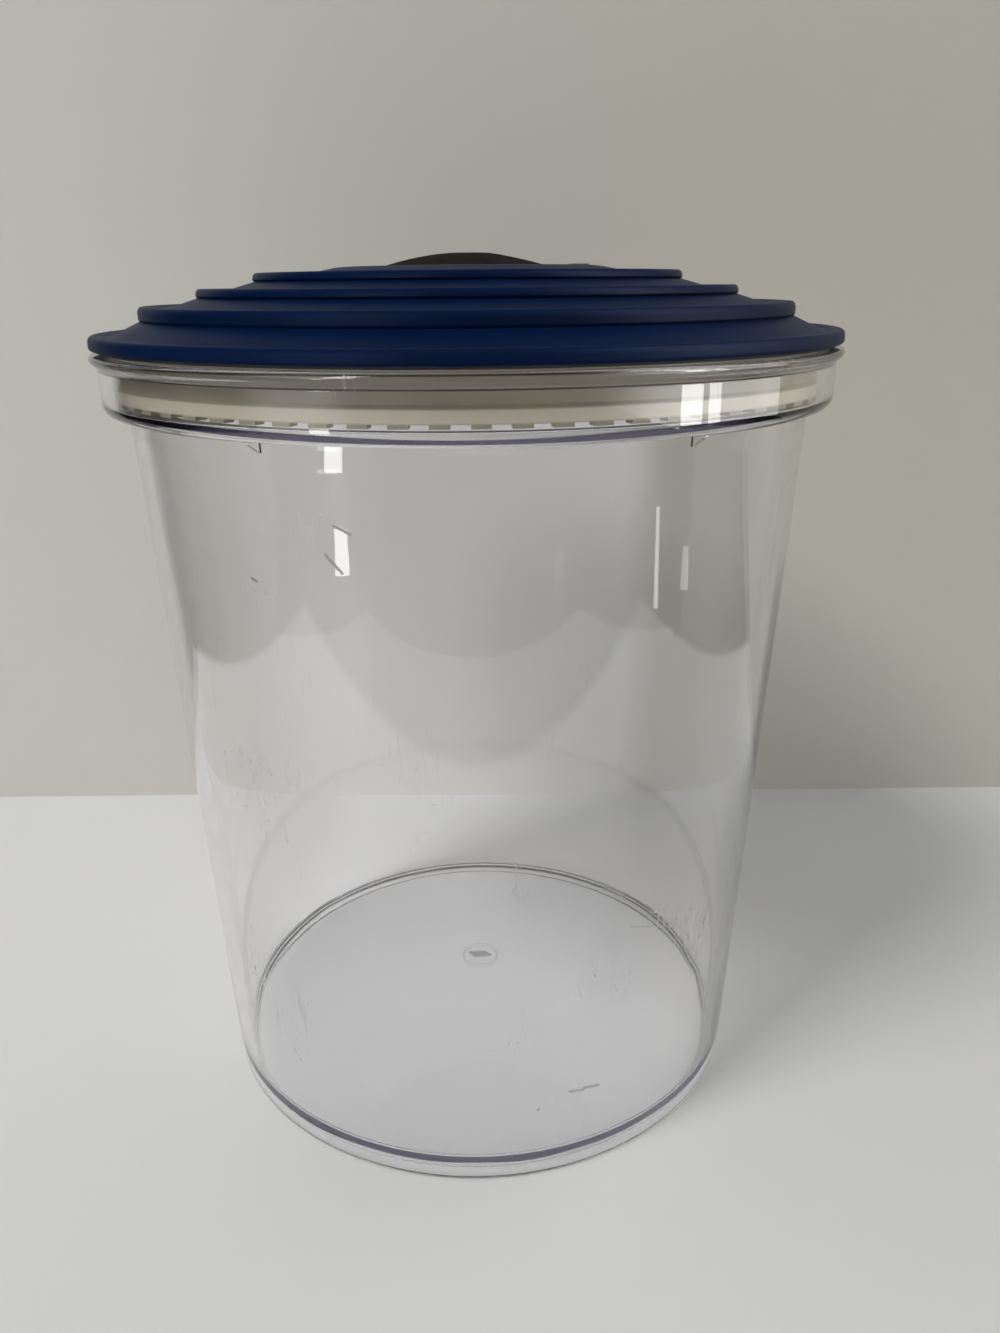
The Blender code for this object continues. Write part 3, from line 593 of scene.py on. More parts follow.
class Shaper:
    """Builds meshes from sections and blocks, and hands them over as riding pieces."""

    STEPS = 256
    BLOCK_SEGMENTS = 3
    EVENED_WEIGHT = 60

    @classmethod
    def section(cls, corners: list[Corner], closed: bool = True) -> bmesh.types.BMesh:
        """Draw a section in the XZ plane with its corners rounded.

        Args:
            corners: the section's corners in order.
            closed: whether the last corner joins the first.

        Returns:
            A bmesh of wire edges.
        """
        bm = bmesh.new()
        points = [bm.verts.new((corner.radius, 0.0, corner.level)) for corner in corners]
        for first, second in zip(points, points[1:]):
            bm.edges.new((first, second))
        if closed:
            bm.edges.new((points[-1], points[0]))
        for corner, point in zip(corners, points):
            if corner.round > 0:
                cls.bevelled(bm, [point], corner.round, corner.segments, "VERTICES")
        return bm

    @staticmethod
    def bevelled(bm: bmesh.types.BMesh, geom: list, offset: float, segments: int, affect: str) -> None:
        """Round some of a bmesh's corners or edges."""
        settings = {"offset_type": "OFFSET", "profile": 0.5, "material": -1}
        bmesh.ops.bevel(bm, geom=geom, offset=offset, segments=segments, affect=affect, **settings)

    @classmethod
    def turned(cls, corners: list[Corner], closed: bool = True, steps: int = STEPS) -> bmesh.types.BMesh:
        """Turn a rounded section about Z into a closed solid.

        Args:
            corners: the section's corners in order.
            closed: False where the section starts and ends on the axis.
            steps: how many steps go round.

        Returns:
            The solid's bmesh.
        """
        bm = cls.section(corners, closed)
        bmesh.ops.spin(
            bm,
            geom=bm.verts[:] + bm.edges[:],
            cent=(0.0, 0.0, 0.0),
            axis=(0.0, 0.0, 1.0),
            dvec=(0.0, 0.0, 0.0),
            angle=math.tau,
            steps=steps,
            use_merge=True,
        )
        return cls.cleaned(bm)

    @staticmethod
    def cleaned(bm: bmesh.types.BMesh) -> bmesh.types.BMesh:
        """Merge doubles and point the faces out."""
        bmesh.ops.remove_doubles(bm, verts=bm.verts, dist=MERGE)
        bmesh.ops.recalc_face_normals(bm, faces=bm.faces)
        return bm

    @classmethod
    def block(cls, low: tuple, high: tuple, turn: Matrix, rounding: float = 0.0) -> bmesh.types.BMesh:
        """Make a block between two corners, turned by a matrix, with its edges rounded."""
        size = [top - bottom for bottom, top in zip(low, high)]
        middle = Vector([(top + bottom) / 2 for bottom, top in zip(low, high)])
        bm = bmesh.new()
        bmesh.ops.create_cube(bm, size=1.0)
        bmesh.ops.scale(bm, vec=size, verts=bm.verts)
        bmesh.ops.translate(bm, vec=middle, verts=bm.verts)
        if rounding > 0:
            cls.bevelled(bm, bm.edges[:], rounding, cls.BLOCK_SEGMENTS, "EDGES")
        bmesh.ops.transform(bm, matrix=turn, verts=bm.verts)
        return bm

    @staticmethod
    def joined(solids: list[bmesh.types.BMesh]) -> bmesh.types.BMesh:
        """Put several bmeshes into one and free them."""
        whole = bmesh.new()
        for solid in solids:
            mesh = bpy.data.meshes.new("loose")
            solid.to_mesh(mesh)
            solid.free()
            whole.from_mesh(mesh)
            bpy.data.meshes.remove(mesh)
        return whole

    @staticmethod
    def loose(name: str, bm: bmesh.types.BMesh) -> bpy.types.Object:
        """Make an object of a bmesh and free it."""
        mesh = bpy.data.meshes.new(name)
        bm.to_mesh(mesh)
        bm.free()
        made = bpy.data.objects.new(name, mesh)
        bpy.context.scene.collection.objects.link(made)
        return made

    @classmethod
    def carve(cls, piece: bpy.types.Object, tool: bmesh.types.BMesh, operation: str) -> None:
        """Cut, join or trim a piece with a solid, and keep only the result.

        Args:
            piece: the object to change.
            tool: the solid to work with.
            operation: DIFFERENCE, UNION or INTERSECT.
        """
        cutter = cls.loose("cutter", tool)
        step = piece.modifiers.new("carve", "BOOLEAN")
        step.operation = operation
        step.object = cutter
        step.solver = "EXACT"
        graph = bpy.context.evaluated_depsgraph_get()
        shaped = bpy.data.meshes.new_from_object(piece.evaluated_get(graph))
        piece.modifiers.clear()
        piece.data = shaped
        shaped.name = piece.name
        bpy.data.objects.remove(cutter, do_unlink=True)

    @classmethod
    def hand_over(
        cls,
        piece: bpy.types.Object,
        material: bpy.types.Material,
        body: Body,
        slot: Slot,
        *nodes: str,
        angle: float = 32.0,
    ) -> bpy.types.Object:
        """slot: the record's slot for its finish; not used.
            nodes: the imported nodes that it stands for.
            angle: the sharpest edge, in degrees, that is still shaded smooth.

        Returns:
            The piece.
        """
        mesh = piece.data
        mesh.materials.clear()
        mesh.materials.append(material)
        mesh.shade_smooth()
        mesh.set_sharp_from_angle(angle=math.radians(angle))
        evened = piece.modifiers.new("evened", "WEIGHTED_NORMAL")
        evened.keep_sharp = True
        evened.weight = cls.EVENED_WEIGHT
        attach(piece, body.value)
        if nodes:
            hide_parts(*nodes)
        LOG.info("%s rides on %s, %d faces", piece.name, body.value, len(mesh.polygons))
        return piece


# The jar


@dataclass
class Jar:
    """The clear jar: pushed-up floor, tapering wall, collar with an inner ledge, bead and gussets."""

    height: float = 0.1748
    base_radius: float = 0.0657
    neck_radius: float = 0.0740
    wall: float = 0.0030
    foot_width: float = 0.0024
    foot_recess: float = 0.0028
    floor_thickness: float = 0.0018
    floor_rise: float = 0.0067
    floor_fillet: float = 0.0020
    floor_segments: int = 8
    floor_step: float = 0.0001
    dome_steps: int = 18
    collar_height: float = 0.0118
    collar_radius: float = 0.0789
    collar_corner: float = 0.00245
    collar_segments: int = 24
    ledge_thickness: float = 0.0022
    ledge_fillet: float = 0.0005
    bead_proud: float = 0.0014
    bead_height: float = 0.0026
    bead_round: Round = (0.0008, 6)
    bead_turn: Round = (0.0004, 4)
    gate_pan: float = 0.0002
    gate_ring_radius: float = 0.0073
    gusset_count: int = 6
    gusset_reach: float = 0.0034
    gusset_height: float = 0.0022
    gusset_thickness: float = 0.0008
    gusset_first: float = math.radians(-59)
    buried: float = 0.0008
    finish: Clear = Clear("clear_moulded")

    def wall_radius(self, level: float) -> float:
        """Return the outer radius of the wall at a level."""
        under = self.height - self.collar_height
        return self.base_radius + (self.neck_radius - self.base_radius) * level / under

    def dome(self, foot_radius: float, foot_level: float) -> list[Corner]:
        """Return the pushed-up floor's curve from the axis out to its foot."""
        sphere = (foot_radius**2 + self.floor_rise**2) / (2 * self.floor_rise)
        points = []
        for step in range(self.dome_steps + 1):
            radius = foot_radius * step / self.dome_steps
            drop = sphere - math.sqrt(sphere**2 - radius**2)
            points.append(Corner(radius, foot_level + self.floor_rise - drop))
        return points

    def gate(self, level: float) -> list[Corner]:
        """Return the shallow round pan at the middle of the floor."""
        pan = level - self.gate_pan
        rim = level - self.gate_pan / 2
        return path((0.0, pan), (self.gate_ring_radius - self.gate_pan, pan), (self.gate_ring_radius, rim))

    def corners(self) -> list[Corner]:
        """Return the jar's section, from the floor's inside over the rim to its underside."""
        under = self.height - self.collar_height
        ledge = under + self.ledge_thickness
        floor_level = self.foot_recess + self.floor_thickness
        inner_base = self.wall_radius(floor_level) - self.wall
        inner_neck = self.wall_radius(ledge) - self.wall
        collar_inner = self.collar_radius - self.wall
        bead = self.collar_radius + self.bead_proud
        foot_inner = self.base_radius - self.foot_width
        floor = self.dome(inner_base - self.floor_fillet, floor_level)[:-1]
        points = self.gate(floor[0].level) + [point for point in floor if point.radius > self.gate_ring_radius]
        points += path(
            (inner_base, floor_level + self.floor_step, self.floor_fillet, self.floor_segments),
            (inner_neck, ledge, *EDGE),
            (collar_inner, ledge, self.ledge_fillet),
            (collar_inner, self.height, *EDGE),
            (bead, self.height, *self.bead_round),
            (bead, self.height - self.bead_height / 2, *self.bead_turn),
            (self.collar_radius, self.height - self.bead_height, *SOFT),
            (self.collar_radius, under, self.collar_corner, self.collar_segments),
            (self.neck_radius, under, *SOFT),
            (self.base_radius, 0.0, *EDGE),
            (foot_inner, 0.0, *TIGHT),
            (foot_inner, self.foot_recess, *TIGHT),
        )
        return points + self.dome(foot_inner, self.foot_recess)[::-1][1:]

    def gussets(self) -> bmesh.types.BMesh:
        """Return the six small wedges under the collar as one bmesh."""
        under = self.height - self.collar_height
        foot = under - self.gusset_height
        tip = self.neck_radius + self.gusset_reach
        outline = (
            (self.neck_radius - self.buried, under + self.buried),
            (tip, under + self.buried),
            (tip, under),
            (self.wall_radius(foot), foot),
            (self.wall_radius(foot) - self.buried, foot),
        )
        solids = []
        for turn in around(self.gusset_count, self.gusset_first):
            bm = bmesh.new()
            face = bm.faces.new([bm.verts.new((x, -self.gusset_thickness / 2, z)) for x, z in outline])
            grown = bmesh.ops.extrude_face_region(bm, geom=[face])
            moved = [item for item in grown["geom"] if isinstance(item, bmesh.types.BMVert)]
            bmesh.ops.translate(bm, verts=moved, vec=(0.0, self.gusset_thickness, 0.0))
            bmesh.ops.recalc_face_normals(bm, faces=bm.faces)
            bmesh.ops.transform(bm, matrix=turn, verts=bm.verts)
            solids.append(bm)
        return Shaper.joined(solids)

    def build(self) -> None:
        """Build the jar's one clear moulding."""
        shell = Shaper.loose("clear_jar", Shaper.turned(self.corners(), closed=False))
        Shaper.carve(shell, self.gussets(), "UNION")
        Shaper.hand_over(shell, self.finish.make(), Body.JAR, Slot.CLEAR, "canister_body")


# The lid


@dataclass
class Levels:
    """The levels that the lid's pieces share, from the rim up."""

    rim: float = 0.1748
    gap: float = 0.0003
    skirt_bottom: float = 0.1659
    plate_under: float = 0.1710
    plate_top: float = 0.1728
    gasket_bottom: float = 0.1751
    gasket_top: float = 0.1764
    seat: float = 0.1767
    brim_bottom: float = 0.1756
    brim_top: float = 0.1783
    ring_tops: tuple[float, float, float] = (0.1836, 0.1869, 0.1899)
    plateau: float = 0.1910
    well: float = 0.1896
    hub_under: float = 0.1878


@dataclass
class Cover:
    """The stepped navy cover with its brim, three lipped rings and plateau."""

    levels: Levels = field(default_factory=Levels)
    wall: float = 0.0018
    brim_radius: float = 0.0800
    brim_lip: float = 0.0009
    ring_radii: tuple[float, float, float] = (0.06985, 0.0581, 0.0463)
    lip_heights: tuple[float, float, float] = (0.0027, 0.0017, 0.0016)
    lip_width: float = 0.0034
    lip_round: Round = (0.0013, 8)
    dish: float = 0.0005
    slope_width: float = 0.0060
    dish_round: Round = (0.0010, 4)
    lip_roll: float = 0.0015
    crease_rise: float = 0.00025
    crease_depth: float = 0.0003
    crease_drop: float = 0.0001
    crease_round: Round = (0.0002, 3)
    slope_round: Round = (0.0020, 6)
    plateau_round: Round = (0.0012, 5)
    well_round: Round = (0.0005, 4)
    brim_round: Round = (0.0007, 5)
    plateau_radius: float = 0.0285
    plateau_foot: float = 0.0365
    well_radius: float = 0.0189
    hole_radius: float = 0.0105
    ring_outer: float = 0.0729
    ring_wall: float = 0.0016
    ring_height: float = 0.0023
    finish: Moulded = Moulded("navy_moulded", (0.0004, 0.0085, 0.042), (0.0006, 0.0105, 0.049), 0.38, gloss=0.06)

    def lip(self, radius: float, top: float) -> list[Corner]:
        """Return a raised lip: the dish inside it, its inner roll and its rounded top."""
        inner = radius - self.lip_width
        return path(
            (inner, top - self.dish, *self.dish_round),
            (inner + self.lip_roll, top, *self.dish_round),
            (radius, top, *self.lip_round),
        )

    def ring(self, radius: float, top: float, lip_height: float, base: float) -> list[Corner]:
        """Return one raised ring: its lip, the crease at the lip's foot and the slope down to the next dish.

        Args:
            radius: the lip's outer radius.
            top: the lip's level.
            lip_height: how tall the lip's face is.
            base: the level of the next dish.

        Returns:
            The ring's corners, inside out.
        """
        foot = top - lip_height
        return self.lip(radius, top) + path(
            (radius, foot + self.crease_rise, *self.crease_round),
            (radius - self.crease_depth, foot - self.crease_drop, *HAIR),
            (radius + self.slope_width, base, *self.slope_round),
        )

    def corners(self) -> list[Corner]:
        """Return the cover's section, out over the rings and back underneath."""
        lv = self.levels
        points = path(
            (self.hole_radius, lv.well, *TIGHT),
            (self.well_radius, lv.well, *TIGHT),
            (self.well_radius, lv.plateau, *self.well_round),
            (self.plateau_radius, lv.plateau, *self.plateau_round),
            (self.plateau_foot, lv.ring_tops[-1] - self.dish, *self.plateau_round),
        )
        bases = [top - self.dish for top in (lv.brim_top,) + lv.ring_tops[:-1]]
        for ring in list(zip(self.ring_radii, lv.ring_tops, self.lip_heights, bases))[::-1]:
            points += self.ring(*ring)
        points += self.lip(self.brim_radius, lv.brim_top)
        lip_inner = self.brim_radius - self.brim_lip
        inner = self.ring_outer - self.ring_wall
        low = lv.seat - self.ring_height
        points += path(
            (self.brim_radius, lv.brim_bottom, *self.brim_round),
            (lip_inner, lv.brim_bottom),
            (lip_inner, lv.seat),
            (self.ring_outer, lv.seat),
            (self.ring_outer, low, *CRISP),
            (inner, low, *CRISP),
            (inner, lv.seat),
        )
        unders = [top - self.dish - self.wall for top in lv.ring_tops[:-1]] + [lv.hub_under]
        level = lv.seat
        for radius, under in zip(self.ring_radii, unders):
            points += path((radius - self.wall, level), (radius - self.wall, under))
            level = under
        return points + path((self.hole_radius, lv.hub_under))

    def build(self) -> None:
        """Build the cover and cut the tab's pocket."""
        piece = Shaper.loose("stepped_cover", Shaper.turned(self.corners()))
        Shaper.carve(piece, IndexTab().pocket(), "DIFFERENCE")
        Shaper.hand_over(piece, self.finish.make(), Body.LID, Slot.NAVY, "lid_cover")


@dataclass
class IndexTab:
    """The small dark tab let into the plateau."""

    length: float = 0.0042
    width: float = 0.0034
    outer: float = 0.0273
    bottom: float = 0.1902
    top: float = 0.1915
    clearance: float = 0.0003
    rounding: float = 0.0004
    turn: float = math.radians(11.6)
    finish: Moulded = Moulded("dark_moulded", (0.045, 0.040, 0.036), (0.06, 0.054, 0.048), dust=0.1)

    def solid(self, grown: float, rounding: float = 0.0) -> bmesh.types.BMesh:
        """Return the tab's block, grown on all sides."""
        low = (self.outer - self.length - grown, -self.width / 2 - grown, self.bottom - grown)
        high = (self.outer + grown, self.width / 2 + grown, self.top + grown)
        return Shaper.block(low, high, Matrix.Rotation(self.turn, 4, "Z"), rounding)

    def pocket(self) -> bmesh.types.BMesh:
        """Return the solid that cuts the tab's pocket."""
        return self.solid(self.clearance)

    def build(self) -> None:
        """Build the tab."""
        piece = Shaper.loose("index_tab_piece", self.solid(0.0, self.rounding))
        Shaper.hand_over(piece, self.finish.make(), Body.LID, Slot.DARK_GREY, "index_tab")


# Painted light and shade on the skirt, seen through the collar: a lighter stripe on the lower step where the brim's
# shade ends, and a dark line painted as the shadow under the jar's bead.
SKIRT_PAINTED_BANDS = (
    Band(0.1667, 0.1689, (0.82, 0.75, 0.61)),
    Band(0.1721, 0.1732, (0.03, 0.024, 0.018)),
)


@dataclass
class Frame:
    """The cream frame: a notched skirt, a ribbed plate, the valve's boss and the screen's socket."""

    levels: Levels = field(default_factory=Levels)
    skirt_radius: float = 0.0755
    skirt_wall: float = 0.0023
    skirt_step: float = 0.0006
    band_height: float = 0.0031
    notch_count: int = 72
    notch_height: float = 0.0007
    notch_share: tuple[int, int] = (2, 4)
    rib_count: int = 6
    rib_height: float = 0.0020
    rib_thickness: float = 0.0014
    rib_end: float = 0.0708
    rib_round: float = 0.0002
    buried: float = 0.0005
    plate_round: Round = (0.0005, 3)
    seat_radius: float = 0.0034
    guide_radius: float = 0.0066
    guide_top: float = 0.1782
    hole_radius: float = 0.0105
    boss_wall: float = 0.0018
    boss_top: float = 0.1862
    socket_radius: float = 0.0110
    socket_wall: float = 0.0013
    socket_bottom: float = 0.1686
    finish: Moulded = Moulded("cream_moulded", (0.47, 0.42, 0.315), (0.41, 0.37, 0.275), 0.30, bands=SKIRT_PAINTED_BANDS)

    def corners(self) -> list[Corner]:
        """Return the frame's section, its skirt ending where the notches start."""
        lv = self.levels
        step = lv.skirt_bottom + self.band_height
        upstand = self.skirt_radius - self.skirt_step
        inner = self.skirt_radius - self.skirt_wall
        low = lv.skirt_bottom + self.notch_height
        top = lv.seat - lv.gap
        socket = self.socket_radius + self.socket_wall
        boss = self.hole_radius + self.boss_wall
        return path(
            (upstand, top, *CRISP),
            (upstand, step + self.skirt_step, *TIGHT),
            (self.skirt_radius, step, *EASED),
            (self.skirt_radius, low),
            (inner, low),
            (inner, lv.plate_under, *self.plate_round),
            (socket, lv.plate_under, *SOFT),
            (socket, self.socket_bottom, *SOFT),
            (self.socket_radius, self.socket_bottom, *EASED),
            (self.socket_radius, lv.plate_under),
            (self.seat_radius, lv.plate_under, *CRISP),
            (self.seat_radius, lv.plate_top, *CRISP),
            (self.guide_radius, lv.plate_top),
            (self.guide_radius, self.guide_top, *CRISP),
            (self.hole_radius, self.guide_top),
            (self.hole_radius, self.boss_top, *CRISP),
            (boss, self.boss_top, *CRISP),
            (boss, lv.plate_top),
            (inner, lv.plate_top),
            (inner, top, *CRISP),
        )

    def cut_notches(self, bm: bmesh.types.BMesh) -> None:
        """Grow the teeth between the notches down from the skirt's lower edge."""
        low = self.levels.skirt_bottom + self.notch_height
        kept, period = self.notch_share
        teeth = []
        for face in bm.faces:
            middle = face.calc_center_median()
            flat = math.hypot(middle.x, middle.y)
            if abs(middle.z - low) > MERGE or flat < self.skirt_radius - self.skirt_wall:
                continue
            turn = math.atan2(middle.y, middle.x) / math.tau * self.notch_count * period
            if math.floor(turn) % period < kept:
                teeth.append(face)
        grown = bmesh.ops.extrude_face_region(bm, geom=teeth)
        moved = [item for item in grown["geom"] if isinstance(item, bmesh.types.BMVert)]
        bmesh.ops.translate(bm, verts=moved, vec=(0.0, 0.0, -self.notch_height))
        bmesh.ops.delete(bm, geom=teeth, context="FACES_ONLY")
        bmesh.ops.recalc_face_normals(bm, faces=bm.faces)

    def build(self) -> None:
        """Build the frame with its ribs and notches."""
        bm = Shaper.turned(self.corners(), steps=self.notch_count * self.notch_share[1])
        self.cut_notches(bm)
        plate = self.levels.plate_top
        start = self.hole_radius + self.boss_wall - self.buried
        low = (start, -self.rib_thickness / 2, plate - self.buried)
        high = (self.rib_end, self.rib_thickness / 2, plate + self.rib_height)
        ribs = [Shaper.block(low, high, turn, self.rib_round) for turn in around(self.rib_count)]
        piece = Shaper.loose("notched_frame", Shaper.joined([bm] + ribs))
        Shaper.hand_over(piece, self.finish.make(), Body.LID, Slot.CREAM, "lid_frame")


@dataclass
class RimGasket:
    """The black gasket between the brim and the rim."""

    levels: Levels = field(default_factory=Levels)
    inner: float = 0.0752
    outer: float = 0.0788
    lip_drop: float = 0.0004
    lip_share: float = 0.3
    finish: Rubber = Rubber("gasket_rubber")

    def build(self) -> None:
        """Build the gasket."""
        lv = self.levels
        lip = (self.outer - self.inner) * self.lip_share
        shoulder = lv.gasket_bottom + self.lip_drop
        corners = path(
            (self.outer, lv.gasket_top, *EASED),
            (self.outer, shoulder, *TIGHT),
            (self.outer - lip / 2, lv.gasket_bottom, *EASED),
            (self.inner + lip, lv.gasket_bottom, *EASED),
            (self.inner, shoulder, *TIGHT),
            (self.inner, lv.gasket_top, *EASED),
        )
        piece = Shaper.loose("rim_gasket_piece", Shaper.turned(corners))
        Shaper.hand_over(piece, self.finish.make(), Body.LID, Slot.BLACK, "lid_gasket")


@dataclass
class Screen:
    """The slotted screen under the valve."""

    outer: float = 0.0107
    bottom: float = 0.1690
    top: float = 0.1702
    slot_count: int = 6
    slot_width: float = 0.0016
    slot_start: float = 0.0030
    slot_end: float = 0.0088
    overshoot: float = 0.0005
    steps: int = 96
    finish: Moulded = Moulded("screen_moulded", (0.70, 0.68, 0.62), (0.64, 0.62, 0.56), 0.34)

    def build(self) -> None:
        """Build the screen and cut its slots."""
        corners = path(
            (0.0, self.top),
            (self.outer, self.top, *TIGHT),
            (self.outer, self.bottom, *SOFT),
            (0.0, self.bottom),
        )
        piece = Shaper.loose("slotted_screen", Shaper.turned(corners, closed=False, steps=self.steps))
        low = (self.slot_start, -self.slot_width / 2, self.bottom - self.overshoot)
        high = (self.slot_end, self.slot_width / 2, self.top + self.overshoot)
        slots = [Shaper.block(low, high, turn) for turn in around(self.slot_count)]
        Shaper.carve(piece, Shaper.joined(slots), "DIFFERENCE")
        Shaper.hand_over(piece, self.finish.make(), Body.LID, Slot.WHITE, "valve_screen")


# The dial


@dataclass
class ValveDial:
    """The low domed dial with its thumb flat, its port and its hollow stem."""

    radius: float = 0.0185
    edge: float = 0.1911
    dome: float = 0.0028
    bottom: float = 0.1899
    pocket_radius: float = 0.0041
    port_radius: float = 0.0032
    pocket_floor: float = 0.1910
    stem_radius: float = 0.0101
    stem_bottom: float = 0.1785
    chamber_radius: float = 0.0070
    shoulder: float = 0.1884
    flat_start: float = 0.0042
    flat_slope: float = math.radians(15.8)
    flat_turn: float = math.radians(-27)
    dome_shares: tuple[float, ...] = (0.3, 0.38, 0.46, 0.54, 0.62, 0.7, 0.78, 0.86, 0.93)
    rim_round: Round = (0.0004, 4)
    sharp: float = 10.0
    steps: int = 192
    seal_steps: int = 96
    seal_round: Round = (0.0002, 3)
    seal_gap: float = 0.0003
    seal_drop: float = 0.0001
    finish: Dial = Dial("dial_moulded")

    def dome_level(self, radius: float) -> float:
        """Return the dome's level at a radius."""
        sphere = (self.radius**2 + self.dome**2) / (2 * self.dome)
        return self.edge + self.dome - sphere + math.sqrt(sphere**2 - radius**2)

    def corners(self) -> list[Corner]:
        """Return the dial's section."""
        points = path((self.pocket_radius, self.dome_level(self.pocket_radius), *EASED))
        for share in self.dome_shares:
            points.append(Corner(self.radius * share, self.dome_level(self.radius * share)))
        return points + path(
            (self.radius, self.dome_level(self.radius), *self.rim_round),
            (self.radius, self.bottom, *TIGHT),
            (self.stem_radius, self.bottom),
            (self.stem_radius, self.stem_bottom, *CRISP),
            (self.chamber_radius, self.stem_bottom, *CRISP),
            (self.chamber_radius, self.shoulder),
            (self.port_radius, self.shoulder, *TIGHT),
            (self.port_radius, self.pocket_floor),
            (self.pocket_radius, self.pocket_floor),
        )

    def flat_tool(self) -> bmesh.types.BMesh:
        """Return the slanted block that leaves the flat for the thumb."""
        reach = 2 * self.radius
        slope = Matrix.Rotation(self.flat_slope, 4, "Y")
        turn = Matrix.Rotation(self.flat_turn, 4, "Z")
        crease = self.dome_level(self.flat_start)
        matrix = turn @ Matrix.Translation((self.flat_start, 0.0, crease)) @ slope
        return Shaper.block((-self.flat_start, -reach, 0.0), (reach, reach, reach), matrix)

    def build(self) -> None:
        """Build the dial and the seal in its port."""
        piece = Shaper.loose("domed_dial", Shaper.turned(self.corners(), steps=self.steps))
        Shaper.carve(piece, self.flat_tool(), "DIFFERENCE")
        Shaper.hand_over(piece, self.finish.make(), Body.DIAL, Slot.WARM_GREY, "control_dial", angle=self.sharp)
        top = self.dome_level(self.pocket_radius) - self.seal_drop
        outer = self.pocket_radius - self.seal_gap
        low = self.pocket_floor + self.seal_gap
        corners = path(
            (outer, top, *self.seal_round),
            (outer, low, *HAIR),
            (self.port_radius, low, *HAIR),
            (self.port_radius, top, *EASED),
        )
        seal = Shaper.loose("port_seal_piece", Shaper.turned(corners, steps=self.seal_steps))
        Shaper.hand_over(seal, Rubber("port_rubber").make(), Body.DIAL, Slot.BLACK, "port_seal")


# The valve


@dataclass
class ValveSpring:
    """The coil that presses the plunger down and shortens as the valve lifts; it is built here at one length only."""

    radius: float = 0.0050
    wire: float = 0.0006
    low: float = 0.1829
    high: float = 0.1878
    anchor: float = 0.1881
    turns: int = 4
    steps_per_turn: int = 32
    wire_segments: int = 10
    sharp: float = 60.0
    lift: float = 0.0020
    finish: Steel = Steel("coil_steel")

    def build(self) -> None:
        """Build the coil by turning a small circle up a helix."""
        bm = bmesh.new()
        stand = Matrix.Translation((self.radius, 0.0, self.low)) @ Matrix.Rotation(math.pi / 2, 4, "X")
        round_wire = {"segments": self.wire_segments, "radius": self.wire / 2}
        made = bmesh.ops.create_circle(bm, cap_ends=True, matrix=stand, **round_wire)
        steps = self.turns * self.steps_per_turn
        bmesh.ops.spin(
            bm,
            geom=bm.faces[:] + bm.edges[:] + made["verts"],
            cent=(0.0, 0.0, 0.0),
            axis=(0.0, 0.0, 1.0),
            dvec=(0.0, 0.0, (self.high - self.low) / steps),
            angle=math.tau * self.turns,
            steps=steps,
        )
        bmesh.ops.recalc_face_normals(bm, faces=bm.faces)
        piece = Shaper.loose("coil_spring", bm)
        Shaper.hand_over(piece, self.finish.make(), Body.LID, Slot.STEEL, "valve_spring", angle=self.sharp)
        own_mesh(piece)


@dataclass
class HiddenParts:
    """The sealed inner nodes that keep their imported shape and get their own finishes."""

    finishes: tuple[tuple[tuple[str, ...], Opaque], ...] = (
        (("stem_o_ring", "valve_disc"), Rubber("seal_rubber")),
        (("valve_plunger",), Moulded("plunger_moulded", (0.72, 0.72, 0.70), (0.66, 0.66, 0.64), 0.30)),
        (("retaining_clip",), Steel("clip_steel")),
    )

    def dress(self) -> None:
        """Give each node its finish."""
        for names, finish in self.finishes:
            material = finish.make()
            for name in names:
                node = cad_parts[name]
                node.data.materials.clear()
                node.data.materials.append(material)
                LOG.info("%s keeps its packed shape", name)


# The studio


@dataclass(frozen=True)
class Lamp:
    """A soft rectangular lamp, unseen by the camera and through clear pieces."""

    name: str
    spot: Triple
    aim: Triple
    size: Pair
    power: float
    colour: Colour
    mirrored: bool = True
    lighting: bool = True

    def hang(self) -> bpy.types.Object:
        """Add the lamp to the scene and return it."""
        data = bpy.data.lights.new(self.name, "AREA")
        data.shape = "RECTANGLE"
        data.size, data.size_y = self.size
        data.energy = self.power
        data.color = self.colour
        made = bpy.data.objects.new(self.name, data)
        made.location = self.spot
        made.rotation_euler = (Vector(self.aim) - Vector(self.spot)).to_track_quat("-Z", "Y").to_euler()
        made.visible_camera = False
        made.visible_glossy = self.mirrored
        made.visible_diffuse = self.lighting
        made.visible_transmission = False
        bpy.context.scene.collection.objects.link(made)
        return made


@dataclass(frozen=True)
class Window:
    """A bright card round the table, which shows only in glossy surfaces and fades at its sides.

    Its azimuth is in degrees from the front towards the right, and low is the level of its lower edge.
    """

    name: str
    azimuth: float
    size: Pair
    radiance: float
    low: float = 0.05
    soft: float = 0.02
    distance: float = 0.70
    colour: Colour = (0.98, 0.98, 0.96)

    def stand(self) -> None:
        """Stand the card round the table."""
        turn = math.radians(self.azimuth)
        middle = self.low + self.size[1] / 2
        spot = (self.distance * math.sin(turn), -self.distance * math.cos(turn), middle)
        power = self.radiance * math.pi * self.size[0] * self.size[1]
        made = Lamp(self.name, spot, (0.0, 0.0, middle), self.size, power, self.colour, lighting=False).hang()
        sheet = Sheet(self.name, made.data)
        across = sheet.split(sheet.add("ShaderNodeNewGeometry", output="Parametric"))[0]
        fade = across.between(0.0, self.soft) * across.between(1.0, 1.0 - self.soft)
        sheet.close(sheet.add("ShaderNodeEmission", inputs={"Strength": fade}))


